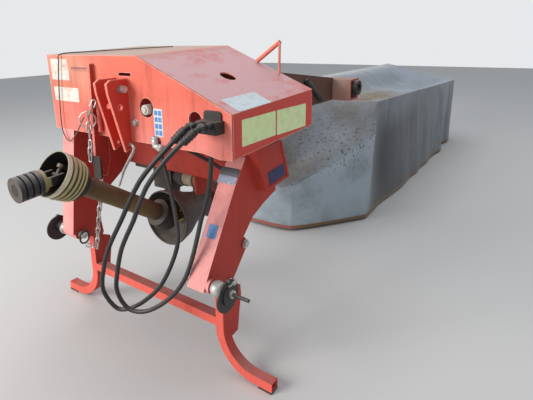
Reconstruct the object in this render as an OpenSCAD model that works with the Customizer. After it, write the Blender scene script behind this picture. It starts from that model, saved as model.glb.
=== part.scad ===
/* [Hitch] */
// Height of the lower link pins over the ground
pin_z = 407; // [395:1:420]
// Distance from the middle to the centre of each lower link ball
ball_x = 435; // [430:1:445]
// Diameter of the lower link balls
ball_d = 56; // [50:1:62]
// Width of the lower link balls
ball_w = 45; // [40:1:50]
// Diameter of the lower link pins
pin_d = 28; // [22:0.5:32]
// Diameter of the shoulder that each ball seats against
shoulder_d = 50; // [40:1:56]
// Height of the top link pin over the lower pins
mast_h = 646; // [620:1:660]
// Diameter of the top link pin
top_pin_d = 25.4; // [19:0.1:30]
// Gap between the top link plates
clevis_gap = 52; // [46:1:60]
// Thickness of the top link plates
clevis_t = 10; // [8:1:14]

/* [Legs and beam] */
// Inner face of each leg, from the middle
leg_x = 325; // [310:1:335]
// Width of the legs
leg_w = 75; // [60:1:80]
// Plate thickness of the legs
leg_t = 8; // [5:1:12]
// Front top corner of the cross beam, from the pins
beam_y = 240; // [230:1:260]
// Lowest corner of the cross beam
beam_z = 660; // [650:1:675]
// Plate thickness of the cross beam
beam_t = 10; // [6:1:14]
// Left end of the cross beam
beam_end = 440; // [420:1:470]

/* [Hood] */
// Front face of the headstock's panel
panel_y = 25; // [20:1:32]
// Thickness of the front panel
panel_t = 8; // [5:1:12]
// Height of the flat top at its front
top_z = 1165; // [1150:1:1180]
// Lower edge of the front panel
panel_low = 861; // [850:1:880]
// Thickness of the hood's sheet
hood_t = 5; // [3:0.5:8]
// Depth of the hood, front to rear
hood_d = 522; // [480:1:530]
// Rise of the flat top towards its rear, in degrees
hood_rise = 2.3; // [0:0.1:3]
// Right end of the hood
hood_x0 = -455; // [-470:1:-430]
// Left end of the hood
hood_x1 = 490; // [475:1:505]
// Where the slope begins
slope_x = 86; // [70:1:95]
// Height of the slope's lower end
slope_z = 997; // [970:1:1010]

/* [Parking stand] */
// Middle of each stand post, from the middle
post_x = 372; // [366:1:374]
// Width of the stand's tube
post_w = 35; // [28:1:38]
// Depth of the stand's tube
post_d = 40; // [30:1:46]
// Front face of the stand
post_y = 79; // [70:1:90]
// Outer radius of each foot's bend
foot_r = 170; // [140:5:180]
// Outer end of each foot
foot_x = 597; // [570:1:610]
// Thickness of the rubber pads
pad_t = 8; // [5:1:12]
// Middle height of the stand's crossbar
bar_z = 200; // [190:5:240]

/* [Drive shaft] */
// Slope of the drive shaft, in degrees
pto_tilt = 33.3; // [30:0.1:34]
// Length of the shaft between its joints
pto_len = 575; // [560:1:590]
// Outer radius of the tube guard
guard_r = 35; // [32:1:40]
// Outer radius of the guard's front cone
cone_r = 78; // [76:1:84]
// Height of the gearbox input
input_z = 485; // [475:1:490]
// Rear joint of the drive shaft, from the pins
input_y = 219; // [210:1:228]
// Mouth radius of the bowl guard
bowl_r = 120; // [105:1:128]

/* [Boom] */
// Swing pivot, distance to the left of the middle
pivot_x = -265; // [-270:1:-260]
// Swing pivot, distance behind the pins
pivot_y = 665; // [660:1:680]
// Outer radius of the pivot tube
pivot_r = 60; // [54:1:64]
// Radius of the pivot pin
pivot_pin_r = 25; // [20:0.5:30]
// Left face of the boom
boom_x = 300; // [290:1:310]
// Width of the boom
boom_w = 120; // [100:1:130]
// Wall of the boom
boom_t = 8; // [6:1:10]
// Contour pivot, distance behind the pins
head_y = 1235; // [1225:1:1245]
// Contour pivot, height
head_z = 940; // [935:1:950]
// Side of the boom's square head
head_w = 110; // [100:1:120]
// Left end of the boom's head
head_x = 400; // [380:1:410]
// Radius of the contour pivot's axle
axle_r = 45; // [40:1:50]

/* [Fold cylinder] */
// Base pin, distance to the left of the middle
base_x = 300; // [290:1:310]
// Base pin, distance behind the pins
base_y = 480; // [476:1:490]
// Radius of the barrel
barrel_r = 35; // [30:1:38]
// Radius of the rod
rod_r = 18; // [14:0.5:22]
// Arm of the rod's lug about the pivot
lug_arm = 150; // [145:1:155]

/* [Cutterbar] */
// Number of cutting discs
discs = 7; // [3:1:7]
// Distance between the discs
disc_pitch = 400; // [395:1:405]
// First disc, distance behind the pins
disc_y = 1700; // [1695:1:1710]
// Line of the discs, across
disc_x = -110; // [-120:1:-100]
// Radius of the blade tips
tip_r = 250; // [230:1:255]
// Half length of each disc's plate
disc_r = 185; // [160:1:190]
// Underside of the bed
bed_z = 45; // [40:1:50]
// Thickness of the bed
bed_t = 60; // [50:1:64]

/* [Cover] */
// Radius of the cover's rails
rail_r = 14; // [10:1:18]
// Left rail, across
rail_x1 = 300; // [290:1:310]
// Left rail, height at its front
rail_z1 = 765; // [750:1:780]
// Left rail, height at its rear
rail_z2 = 672; // [660:1:690]
// Right rail, across
rail_x0 = -430; // [-440:1:-420]
// Right rail, height
rail_z0 = 845; // [830:1:860]
// Front end of the right rail
rail_y0 = 1722; // [1718:1:1730]
// Front end of the left rail
rail_y2 = 1850; // [1830:1:1880]
// Rear end of the rails
rail_y1 = 4530; // [4480:1:4560]
// Height of the bars that carry the rails
carrier_z = 560; // [540:1:580]
// Thickness of the cover's cloth
cloth_t = 4; // [3:0.5:8]
// Height of the cover's hem
hem_z = 15; // [8:1:30]

/* [Hidden] */
$fn = 64;
red = "orangered";
// Running clearance of pins in their bores
run = 0.1;
// Gap between pieces that are seated but not fixed
seat = 0.3;
// Gap beside a piece that turns
gap = 2;
top_pin_y = -9;
top_pin_z = pin_z + mast_h;
spare_hole_y = -17;
spare_hole_z = top_pin_z - 64;
spare_hole_r = 10;
hook_r = 5.5;
hook_y = 10;
hook_z = panel_low - 9;
clevis_x = clevis_gap / 2;
ball_in = ball_x - ball_w / 2;
ball_out = ball_x + ball_w / 2;
catch_y = -8;
catch_z = pin_z - 7;
catch_r = 56;
pin_in = leg_x - 30;
pin_out = ball_out + 42;
hinge_y = 104;
hinge_z = 366;
lock_y = 205;
lock_z = 478;
hinge_r = 8;
ear_t = 8;
foot_in = foot_r - post_w;
foot_cx = post_x - post_w / 2 + foot_r;
beam_top = beam_z + 175;
beam_nose = [beam_y, beam_z + 148];
beam_sec = [[beam_y + 58 - 58 * (beam_top - beam_z) / 148, beam_top], [beam_y + 58, beam_z], [beam_y + 230, beam_z + 14],
    [beam_y + 169, beam_top]];
left_leg_side = [[88, pin_z - 15], [180, 485], [beam_y + 23, beam_z - 97], [beam_y + 104, beam_z - 65],
    [beam_y + 190, beam_z - 41], [beam_y + 190, beam_z + 10.7], beam_sec[1], beam_nose,
    [beam_y - 17, beam_z + 144], [beam_y - 84, beam_z + 55], [3, pin_z + 55], [-35, pin_z - 12]];
right_leg_side = [[panel_y, panel_low], [-36, pin_z + 8], [14, pin_z - 20], [60, pin_z - 35],
    [105, pin_z + 5], [105, pin_z + 60], [150, beam_z - 100], beam_sec[1], beam_sec[0],
    [beam_y - 40, panel_low]];
left_ear = [[hinge_y - 34, pin_z], [lock_y - 25, lock_z + 50], [lock_y + 4, lock_z + 22], [lock_y + 20, lock_z + 6],
    [lock_y + 22, lock_z - 14], [hinge_y + 26, hinge_z - 4], [hinge_y + 16, hinge_z - 20],
    [hinge_y - 14, hinge_z - 22], [hinge_y - 30, hinge_z - 8]];
right_ear = [[hinge_y - 44, pin_z - 40], [hinge_y - 44, pin_z + 30], [hinge_y + 14, pin_z + 50],
    [hinge_y + 26, hinge_z - 4], [hinge_y + 16, hinge_z - 20], [hinge_y - 14, hinge_z - 22]];
swing_a = 20;
lug_x = pivot_x + lug_arm * cos(swing_a);
lug_y = pivot_y + lug_arm * sin(swing_a);
gear_y0 = input_y + 241;
gear_y1 = gear_y0 + 140;
cyl_z = 790;
cyl_len = norm([lug_x - base_x, lug_y - base_y]);
cyl_a = atan2(lug_y - base_y, lug_x - base_x);
eye_r = 24;
eye_h = 50;
arm_z0 = head_z + 10;
arm_z1 = head_z + 130;
stay_y = pivot_y + 203;
stay_z = head_z + 69;
column_w = 160;
column_y = 575;
column_top = 1105;
lug_t = 24;
bed_x0 = disc_x - 70;
bed_w = 250;
bed_y0 = disc_y - 270;
bed_y1 = disc_y + (discs - 1) * disc_pitch + 300;
bed_top = bed_z + bed_t;
disc_lift = 12;
post_ys = [rail_y2 + 38, (rail_y2 + rail_y1) / 2, bed_y1 - 40];
cover_post_x = disc_x + tip_r + 25;
carrier_w = 12;
rail_rise = (rail_z2 - rail_z1) / (rail_y1 - rail_y2);
basin_low = [[-120, 2150, 705], [170, 2200, 688], [170, 4150, 625], [-120, 4150, 660]];
basin_rim = [[-300, 1900, 838], [262, 2000, 775], [262, 4400, 702], [-300, 4400, 825]];

function unit(v) = v / norm(v);
function insides(p, t) = [for (i = [0:len(p) - 1])
    let (a = p[(i + len(p) - 1) % len(p)], b = p[i], c = p[(i + 1) % len(p)],
        u = unit(b - a), w = unit(c - b), n = [-u[1], u[0]], m = [-w[1], w[0]])
    b + t * (n + m) / (1 + n * m)];
function hood_under(y) = top_z - hood_t / cos(hood_rise) + (y - panel_y) * tan(hood_rise);
function slope_at(x, y) = top_z - (x - slope_x) * (top_z - slope_z) / (hood_x1 - slope_x)
    + (y - panel_y) * tan(hood_rise);
function on_path(p, i) = p[max(0, min(len(p) - 1, i))];
function doubled(p) = [for (i = [0:2 * len(p) - 2])
    i % 2 == 0 ? p[i / 2]
    : (9 * (on_path(p, (i - 1) / 2) + on_path(p, (i + 1) / 2))
        - on_path(p, (i - 3) / 2) - on_path(p, (i + 3) / 2)) / 16];
function heading(p, i) = unit(on_path(p, i + 1) - on_path(p, i - 1));
function carried(p, i, n) = i == 0 ? unit(cross(heading(p, 0), n))
    : let (m = carried(p, i - 1, n), d = heading(p, i)) unit(m - (m * d) * d);

module stood() { translate([0, 0, -pin_z]) children(); }
module yz_plate(x, t, p) { translate([x, 0, 0]) rotate([90, 0, 90]) linear_extrude(t) polygon(p); }
module xz_plate(y, t, p) { translate([0, y + t, 0]) rotate([90, 0, 0]) linear_extrude(t) polygon(p); }
module rod_x(x0, x1, y, z, r) { translate([x0, y, z]) rotate([0, 90, 0]) cylinder(h = x1 - x0, r = r); }
module rod_y(y0, y1, x, z, r) { translate([x, y0, z]) rotate([-90, 0, 0]) cylinder(h = y1 - y0, r = r); }
module rod_z(z0, z1, x, y, r) { translate([x, y, z0]) cylinder(h = z1 - z0, r = r); }
module box(x, y, z) { translate([x[0], y[0], z[0]]) cube([x[1] - x[0], y[1] - y[0], z[1] - z[0]]); }
module both_sides() { for (s = [0, 1]) mirror([s, 0, 0]) children(); }

// A round tube through the points of a path
module tube(p, r, sides, n = [0, 1, 0]) {
    rings = [for (i = [0:len(p) - 1])
        let (u = carried(p, i, n), w = cross(heading(p, i), u))
        for (k = [0:sides - 1]) p[i] + r * (cos(360 * k / sides) * u + sin(360 * k / sides) * w)];
    last = (len(p) - 1) * sides;
    walls = [for (i = [0:len(p) - 2]) for (k = [0:sides - 1])
        let (a = i * sides + k, b = i * sides + (k + 1) % sides) each
        [[a, a + sides, b], [b, a + sides, b + sides]]];
    polyhedron(rings, concat(walls, [[for (k = [0:sides - 1]) k],
        [for (k = [sides - 1:-1:0]) last + k]]), convexity = 10);
}

// A closed link: two half rings joined by straight sides, in the X-Z plane
module link(half, r, wire) {
    steps = 10;
    sides = 6;
    loop = [for (i = [0:steps - 1]) let (a = 360 * (i + 0.5) / steps)
        [r * cos(a), 0, r * sin(a) + (sin(a) > 0 ? half : -half)]];
    ring = [for (i = [0:steps - 1])
        let (d = unit(loop[(i + 1) % steps] - loop[(i + steps - 1) % steps]), u = [0, 1, 0], w = cross(d, u))
        for (k = [0:sides - 1]) loop[i] + wire * (cos(60 * k) * u + sin(60 * k) * w)];
    walls = [for (i = [0:steps - 1]) for (k = [0:sides - 1])
        let (a = i * sides + k, b = i * sides + (k + 1) % sides, c = ((i + 1) % steps) * sides + k,
            d = ((i + 1) % steps) * sides + (k + 1) % sides) each [[a, c, b], [b, c, d]]];
    polyhedron(ring, walls, convexity = 4);
}

// A chain of links from one point to another
module chain(from, to, half = 9, r = 8, wire = 3.2) {
    d = to - from;
    pitch = 2 * (half + r) - 2 * wire * cos(30) - seat;
    count = round(norm(d) / pitch);
    translate(from)
        rotate([0, acos(d[2] / norm(d)), atan2(d[1], d[0])])
            for (i = [0:count - 1])
                translate([0, 0, (i + 0.5) * pitch]) rotate([0, 0, 90 * (i % 2)]) link(half, r, wire);
}

module beam_solid(grow = 0) {
    yz_plate(-leg_x - leg_w, leg_x + leg_w + beam_end, insides(beam_sec, -grow));
}

// Sheet panel that faces the tractor
module front_panel() stood() color(red) difference() {
    xz_plate(panel_y, panel_t, [[hood_x0, top_z], [slope_x, top_z], [hood_x1, slope_z],
        [hood_x1, panel_low - 8], [hood_x1 - 52, panel_low - 12], [hood_x1 - 117, panel_low],
        [hood_x0 + 8, panel_low]]);
    rod_y(panel_y - 1, panel_y + panel_t + 1, 122, 989, 34);
    rod_y(panel_y - 1, panel_y + panel_t + 1, 345, 967, 27);
    rod_y(panel_y - 1, panel_y + panel_t + 1, 171, 877, 13);
    box([-11, 53], [panel_y - 1, panel_y + panel_t + 1], [top_z - 70, top_z - 59]);
    box([-293, -185], [panel_y - 1, panel_y + 3], [top_z - 56, top_z - 46]);
}

// Bent sheet behind the panel: flat top, slope and left end
module hood() stood() color(red) difference() {
    translate([0, panel_y, top_z]) rotate([hood_rise, 0, 0]) translate([0, -panel_y - 40, -top_z])
        xz_plate(panel_y, hood_d + 40, [[hood_x0, top_z], [slope_x, top_z], [hood_x1, slope_z],
            [hood_x1, panel_low - 8], [hood_x1 - hood_t, panel_low - 8], [hood_x1 - hood_t, slope_z - 2],
            [slope_x - 1, top_z - hood_t], [hood_x0 + hood_t, top_z - hood_t],
            [hood_x0 + hood_t, top_z - 60], [hood_x0, top_z - 60]]);
    box([hood_x0 - 20, hood_x1 + 20], [-200, panel_y + panel_t], [600, 1300]);
    rod_z(1000, 1200, 300, 262, 30);
}

// Upright rib beside the top link plates
module side_rib() stood() color(red) {
    yz_plate(-162, 12, [[panel_y, 1135], [5, 1134], [3, 1057], [-10, 700], [40, 694], [60, 760],
        [60, panel_low], [panel_y, panel_low]]);
    rod_z(880, 998, -131, panel_y - 10, 9.5);
}

// Two plates behind the panel that carry it on the beam
module mast_plates() stood() color(red) for (x = [-132, 58]) difference() {
    yz_plate(x, 10, [[panel_y + panel_t, panel_low + 10], [panel_y + panel_t, hood_under(panel_y + panel_t)],
        [beam_y + 180, hood_under(beam_y + 180)], beam_sec[3], beam_sec[0]]);
    rod_x(x - 1, x + 11, beam_y - 10, (beam_top + top_z) / 2, 70);
}

module clevis_plates() stood() color(red) both_sides() difference() {
    yz_plate(clevis_x, clevis_t, [[panel_y, 1087], [-50, 1087], [-67, 1075], [-64, 1040], [-8, 825],
        [panel_y, 838]]);
    rod_x(clevis_x - 1, clevis_x + clevis_t + 1, top_pin_y, top_pin_z, top_pin_d / 2 + run);
    rod_x(clevis_x - 1, clevis_x + clevis_t + 1, spare_hole_y, spare_hole_z, spare_hole_r);
    rod_x(clevis_x - 1, clevis_x + clevis_t + 1, hook_y, hook_z, hook_r + seat);
}

module top_link_pin() stood() color("silver") {
    rod_x(-clevis_x - clevis_t - 14, clevis_x + clevis_t + 22, top_pin_y, top_pin_z, top_pin_d / 2);
    rod_x(-clevis_x - clevis_t - 14, -clevis_x - clevis_t - seat, top_pin_y, top_pin_z, top_pin_d / 2 + 7);
}

// Box beam across the headstock, its left end plate set back
module cross_beam() stood() color(red) {
    difference() {
        beam_solid();
        yz_plate(-leg_x - leg_w - 1, leg_x + leg_w + beam_end + 2, insides(beam_sec, beam_t));
    }
    yz_plate(beam_end - beam_t - 4, beam_t, insides(beam_sec, beam_t));
    yz_plate(-leg_x - leg_w, 8, insides(beam_sec, beam_t));
}

// A leg: two side plates with a plate round their edge, and a boss for the pin
module leg(side) {
    difference() {
        union() {
            difference() {
                yz_plate(leg_x, leg_w, side);
                yz_plate(leg_x + leg_t, leg_w - 2 * leg_t, insides(side, leg_t));
            }
            rod_x(leg_x, ball_in, 0, pin_z, shoulder_d / 2);
        }
        rod_x(leg_x - 1, ball_in + 1, 0, pin_z, pin_d / 2 + run);
    }
}

module left_leg() stood() color(red) leg(left_leg_side);
module right_leg() stood() color(red) mirror([1, 0, 0]) leg(right_leg_side);

module lower_pins() stood() color("silver") both_sides() rod_x(pin_in, pin_out, 0, pin_z, pin_d / 2);

module link_balls() stood() color("silver") both_sides() difference() {
    intersection() {
        translate([ball_x, 0, pin_z]) sphere(d = ball_d);
        box([ball_in + seat, ball_out], [-ball_d, ball_d], [pin_z - ball_d, pin_z + ball_d]);
    }
    rod_x(ball_in - 1, ball_out + 1, 0, pin_z, pin_d / 2 + run);
}

// Round catch plates that keep the balls on the pins
module catch_plates() stood() color("dimgray") both_sides() difference() {
    union() {
        rod_x(ball_out + seat, ball_out + 22, 0, pin_z, 23);
        rod_x(ball_out + 21.5, ball_out + 27, catch_y, catch_z, catch_r);
        rod_x(ball_out + 21.5, ball_out + 34, catch_y, catch_z, 30);
        rod_x(ball_out + 21, ball_out + 33, catch_y + 6, catch_z + catch_r - 6, 10);
    }
    rod_x(ball_out, ball_out + 35, 0, pin_z, pin_d / 2 + run);
}

// Sprung ring pin on the right pin's inner end, and the handle on the left pin
module linch_pin() stood() color("silver") {
    translate([-pin_in - 6, 0, pin_z - 9.5]) rotate([0, 0, 90]) link(6, 22, 4);
    rod_x(pin_out + seat, pin_out + 62, 0, pin_z, 6);
}

module gearbox() stood() color("dimgray") {
    difference() {
        union() {
            box([-80, 80], [gear_y0, gear_y1], [input_z - 85, input_z + 55]);
            rod_y(input_y + 161, gear_y0 + 1, 0, input_z, 34);
            rod_y(gear_y1 - 1, gear_y1 + 19, 0, input_z, 50);
        }
        rod_y(input_y + 160, input_y + 260, 0, input_z, 17.5 + run);
    }
    difference() {
        for (x = [-80, 70]) yz_plate(x, 10, [[gear_y0 + 40, input_z + 54], beam_sec[2] + [20, -34],
            beam_sec[2] + [-30, 0], beam_sec[2] + [45, 0], [gear_y1, input_z + 54]]);
        beam_solid();
    }
}

// Bowl that shields the rear joint of the drive shaft, with its wire ring
module bowl_guard() stood() color("gray") {
    translate([0, input_y - 19, input_z]) rotate([-90, 0, 0]) rotate_extrude() polygon([
        [bowl_r, 0], [bowl_r, 8], [bowl_r - 12, 60], [bowl_r - 40, 120], [62, 180], [60, 200], [60, 238],
        [56, 238], [56, 199], [58, 177], [bowl_r - 45, 118], [bowl_r - 16, 60], [bowl_r - 4, 8],
        [bowl_r - 4, 0]]);
    translate([0, input_y - 19, input_z]) rotate([90, 0, 0]) rotate_extrude() translate([bowl_r - 3, 1.5])
        circle(r = 3, $fn = 16);
    for (a = [45:90:315]) translate([0, input_y + 175, input_z]) rotate([0, a, 0])
        box([34, 57], [-6, 6], [-5, 5]);
}

side_from = [50, 390, 604];
side_to = [-188, 480, 566];
side_d = side_to - side_from;
module along_side() {
    translate(side_from) rotate([0, acos(side_d[2] / norm(side_d)), atan2(side_d[1], side_d[0])]) children();
}

// Guard of the shaft that leads to the pivot gearbox
module side_shaft() stood() color("tan") along_side() rotate_extrude() polygon([[12, 0], [46, 0], [46, 10],
    [40, 12], [40, 26], [44, 28], [44, 40], [38, 42], [38, 150], [42, 152], [42, norm(side_d) - 4],
    [12, norm(side_d) - 4]]);

module shaft_bracket() stood() color(red) difference() {
    along_side() box([-90, 52], [-45, 45], [-10, 0]);
    beam_solid();
}

module pivot_gearbox() stood() color("dimgray") difference() {
    union() {
        box([-312, -192], [430, 560], [500, 645]);
        box([-300, -204], [beam_y + 70, beam_y + 225], [640, beam_z + 20]);
        rod_z(470, 501, -252, 495, 40);
    }
    beam_solid();
    along_side() translate([0, 0, -10]) cylinder(h = norm(side_d) + 6 + seat, r = 46);
}

// Column behind the beam with the two lugs of the swing pivot
module pivot_column() stood() color(red) {
    for (x = [pivot_x - column_w / 2, pivot_x + column_w / 2 - 10])
        yz_plate(x, 10, [beam_sec[2], [column_y, beam_z + 14], [column_y, column_top],
            [beam_y + 195, column_top], beam_sec[3]]);
    box([pivot_x - column_w / 2 + 10, pivot_x + column_w / 2 - 10], [column_y - 10, column_y],
        [beam_z + 14, column_top]);
    for (z = [beam_z + 14 - lug_t, column_top]) difference() {
        union() {
            box([pivot_x - 74, pivot_x + 74], [column_y - 95, column_y], [z, z + lug_t]);
            box([pivot_x - 70, pivot_x + 70], [column_y - 1, pivot_y], [z, z + lug_t]);
            rod_z(z, z + lug_t, pivot_x, pivot_y, 70);
        }
        rod_z(z - 1, z + lug_t + 1, pivot_x, pivot_y, pivot_pin_r + run);
    }
}

module pivot_pin() stood() color("silver") {
    rod_z(beam_z - 32, column_top + lug_t + 12, pivot_x, pivot_y, pivot_pin_r);
    rod_z(column_top + lug_t, column_top + lug_t + 12, pivot_x, pivot_y, pivot_pin_r + 13);
    rod_z(beam_z - 30, beam_z + 14 - lug_t, pivot_x, pivot_y, pivot_pin_r + 10);
}

module cylinder_bracket() stood() color(red) difference() {
    union() {
        for (z = [cyl_z - eye_h / 2 - seat - 14, cyl_z + eye_h / 2 + seat]) {
            box([base_x - 30, base_x + 30], [beam_y + 150, base_y], [z, z + 14]);
            rod_z(z, z + 14, base_x, base_y, 30);
        }
        rod_z(cyl_z - eye_h / 2 - 20, cyl_z + eye_h / 2 + 20, base_x, base_y, 12);
    }
    beam_solid();
}

// Ears behind the legs that carry the stand, with its hinge bolts and a lock bolt at the left
module stand_brackets() stood() color(red) {
    ear_x0 = post_x - post_w / 2 - gap - ear_t;
    ear_x1 = post_x + post_w / 2 + gap;
    for (s = [0, 1]) mirror([s, 0, 0]) {
        difference() {
            for (x = [ear_x0, ear_x1]) yz_plate(x, ear_t, s == 0 ? left_ear : right_ear);
            yz_plate(leg_x - 10, leg_w + 20, s == 0 ? left_leg_side : right_leg_side);
        }
        rod_x(ear_x0 - 8, ear_x1 + ear_t + 8, hinge_y, hinge_z, hinge_r);
    }
    rod_x(ear_x0 - 8, ear_x1 + ear_t + 8, lock_y, lock_z, hinge_r);
}

module hose_block() stood() color("dimgray") {
    box([383, 463], [panel_y - 42, panel_y], [937, 976]);
    for (x = [402, 444]) rod_y(panel_y - 70, panel_y - 41, x, 967, 10.5);
}

module hose_unions() stood() color("silver") for (x = [150, 385]) {
    box([x - 16, x + 16], [panel_y + panel_t, panel_y + panel_t + 34], [880, 912]);
    rod_z(870, 881, x, panel_y + 25, 12);
}

hose_r = 8;
// A hose's route with its straight ends: out of its coupling and up into its union
function hose_ends(x0, x1, p) = concat([[x0, panel_y - 70, 967]], doubled(p), [[x1, panel_y + 25, 870]]);
hose_1_path = [[402, -58, 967], [396, -78, 962], [345, -112, 900], [260, -148, 796], [176, -165, 653],
    [95, -165, 532], [36, -155, 423], [0, -140, 318], [25, -105, 232], [85, -80, 247], [145, -60, 293],
    [215, -40, 377], [260, -5, 510], [239, 20, 600], [205, 35, 690], [162, 46, 800], [150, 50, 858]];
hose_2_path = [[444, -58, 967], [437, -80, 960], [365, -118, 885], [288, -148, 781], [230, -160, 662],
    [158, -160, 546], [105, -150, 425], [80, -138, 340], [100, -110, 262], [175, -82, 268], [266, -50, 343],
    [318, -25, 430], [340, 5, 540], [349, 28, 625], [371, 42, 709], [383, 48, 800], [385, 50, 858]];
hose_3_path = [[68, 100, 868], [95, 100, 868], [150, 125, 850], [200, 155, 815], [250, 190, 780], [302, 216, 745],
    [325, 216, 745]];
rope_path = [[-80, 380, 1187], [-180, 330, 1183], [-270, 220, 1178], [-335, 100, 1173], [-352, 22, 1168],
    [-358, 14, 1140], [-375, 14, 1050], [-387, 14, 943], [-385, 12, 858], [-338, 8, 817], [-270, 2, 862],
    [-217, -6, 914], [-182, -18, 935]];

module hose_1() stood() color("black") tube(hose_ends(402, 150, hose_1_path), hose_r, 8, [1, 0, 0]);
module hose_2() stood() color("black") tube(hose_ends(444, 385, hose_2_path), hose_r, 8, [1, 0, 0]);
module hose_3() stood() color("black") tube(hose_3_path, 7, 8);
module rope() stood() color("gray") tube(rope_path, 2.5, 8, [0, 0, 1]);

module upper_chain() stood() color("silver") {
    chain([-131, -1.3, 1000], [-147, -20, 945]);
    translate([-154, -22, 928]) rotate([0, 0, 35]) link(0, 32, 3);
    chain([-150, -22, 945], [-146, -26, 850]);
    chain([-147, -26, 850], [-160, -26, 760]);
}

module lower_chain() stood() color("silver") {
    chain([-156, 14, 691], [-262, 30, 353]);
    chain([-272.8, 17.2, 354], [-299.8, -2.3, 363.6]);
}

module hook_rod() stood() color("silver")
    tube([[clevis_x - 14, hook_y, hook_z], [clevis_x + clevis_t + 12, hook_y, hook_z], [64, 6, 844], [60, 4, 828],
        [-10, 10, 745], [-60, 20, 672]], hook_r, 10);

module hood_lever() stood() color(red) {
    tube([[250, 530, slope_at(250, 530) + 6.4], [355, 536, top_z + 35]], 9, 12);
    tube([[354, 534, top_z + 32], [357, 526, slope_at(357, 526) + 2.6]], 5, 12);
}

// Axes of the drive shaft: z runs up along it from its rear joint
module along_pto() { translate([0, input_y, input_z]) rotate([90 - pto_tilt, 0, 0]) children(); }
front_y = input_y - pto_len * cos(pto_tilt);
front_z = input_z + pto_len * sin(pto_tilt);
yoke_droop = 4;
module along_front() { translate([0, front_y, front_z]) rotate([90 + yoke_droop, 0, 0]) children(); }
yoke_in = 26;
yoke_t = 12;
yoke_len = 52;
fork_end = yoke_len + 12;

// A fork: two ears across x, a web and a stub along z
module fork(stub, r) {
    for (s = [-1, 1]) difference() {
        union() {
            translate([s > 0 ? yoke_in : -yoke_in - yoke_t, -14, 0]) cube([yoke_t, 28, yoke_len]);
            translate([s > 0 ? yoke_in : -yoke_in - yoke_t, 0, 0]) rotate([0, 90, 0]) cylinder(h = yoke_t, r = 14);
        }
    }
    translate([0, 0, yoke_len - 0.01]) cylinder(h = 12, r = yoke_in + yoke_t);
    translate([0, 0, yoke_len + 11]) cylinder(h = stub, r = r);
}

// The cross of a joint: one pin across its own fork, the other across the shaft's, which is tilted by a
module cross_pins(a) {
    straight = yoke_in - 6;
    for (pin = [[0, 90, 0], [90 + a, 0, 0]]) rotate(pin) {
        cylinder(h = 2 * straight, r = 8, center = true);
        for (s = [0, 1]) mirror([0, 0, s]) translate([0, 0, straight]) cylinder(h = 6 - seat, r1 = 8, r2 = 3);
    }
}

module pto_guard() stood() color("tan") along_pto() {
    rotate_extrude() polygon([[20 + run, fork_end + 26], [guard_r + 20, fork_end + 16], [62, fork_end - 30],
        [62, 14], [58, 14], [58, fork_end - 32], [guard_r + 14, fork_end + 10], [20 + run, fork_end + 18]]);
    translate([0, 0, fork_end + 20]) difference() {
        cylinder(h = pto_len - 115 - fork_end, r = guard_r);
        translate([0, 0, -1]) cylinder(h = pto_len, r = guard_r - 4);
    }
    translate([0, 0, pto_len - 95]) rotate_extrude() polygon([[20 + run, 0], [guard_r + 16, 0],
        [guard_r + 20, 14], [cone_r - 14, 16], [cone_r - 14, 32], [cone_r - 6, 34], [cone_r - 9, 42],
        [cone_r - 4, 48], [cone_r - 7, 58], [cone_r - 2, 64], [cone_r - 5, 76], [cone_r, 82],
        [cone_r - 2, 96], [cone_r, 100], [cone_r, 116], [cone_r - 4, 116], [cone_r - 6, 80],
        [cone_r - 12, 40], [cone_r - 18, 20], [guard_r + 10, 12], [20 + run, 12]]);
}

module pto_shaft() stood() color("dimgray") along_pto() {
    rotate([0, 0, 90]) fork(0, 20);
    translate([0, 0, yoke_len]) cylinder(h = pto_len - 2 * yoke_len, r = 20);
    translate([0, 0, pto_len]) rotate([180, 0, 90]) fork(0, 20);
}

module front_yoke() stood() color("goldenrod") along_front() {
    fork(34, 30);
    cross_pins(-pto_tilt - yoke_droop);
    translate([0, 0, yoke_len + 14]) difference() {
        for (i = [0:3]) translate([0, 0, 20 * i]) cylinder(h = 14, r = 40);
        translate([0, 0, -1]) cylinder(h = 32, r = 30);
    }
    translate([0, 0, yoke_len + 14]) cylinder(h = 74, r = 34);
}

module rear_yoke() stood() color("goldenrod") translate([0, input_y, input_z]) rotate([-90, 0, 0]) {
    fork(26, 26);
    cross_pins(-pto_tilt);
    translate([0, 0, yoke_len]) cylinder(h = 190 - yoke_len, r = 17.5);
}

// Parking stand: two posts, a crossbar and feet that bend outwards
module stand_frame() stood() color(red) {
    box([-post_x + post_w / 2, post_x - post_w / 2], [post_y, post_y + post_d],
        [bar_z - post_w / 2, bar_z + post_w / 2]);
    both_sides() {
        difference() {
            union() {
                yz_plate(post_x - post_w / 2, post_w, [[post_y, pad_t + foot_r], [post_y, hinge_z - 40],
                    [hinge_y - 20, hinge_z], [hinge_y + 20, hinge_z], [post_y + post_d, hinge_z - 40],
                    [post_y + post_d, pad_t + foot_r]]);
                yz_plate(post_x + post_w / 2 - 8, 8, [[post_y + post_d - 1, hinge_z - 36],
                    [post_y + post_d - 1, 118], [post_y + 89, 124], [post_y + 100, 195], [post_y + 114, 270],
                    [post_y + 110, 310], [post_y + 70, hinge_z - 36]]);
                rod_x(post_x - post_w / 2, post_x + post_w / 2, hinge_y, hinge_z, 20);
            }
            rod_x(post_x - post_w, post_x + post_w, hinge_y, hinge_z, hinge_r + run);
        }
        difference() {
            translate([foot_cx, post_y + post_d, pad_t + foot_r]) rotate([90, 0, 0]) linear_extrude(post_d)
                union() {
                    intersection() {
                        difference() {
                            circle(r = foot_r);
                            circle(r = foot_in);
                        }
                        translate([-foot_r, -foot_r]) square(foot_r);
                    }
                    translate([-1, -foot_r]) square([foot_x - foot_cx + 1, post_w]);
                }
            box([foot_x - 60, foot_x + 1], [post_y + 4, post_y + post_d - 4], [pad_t + 4, pad_t + post_w - 4]);
        }
    }
}

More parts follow.
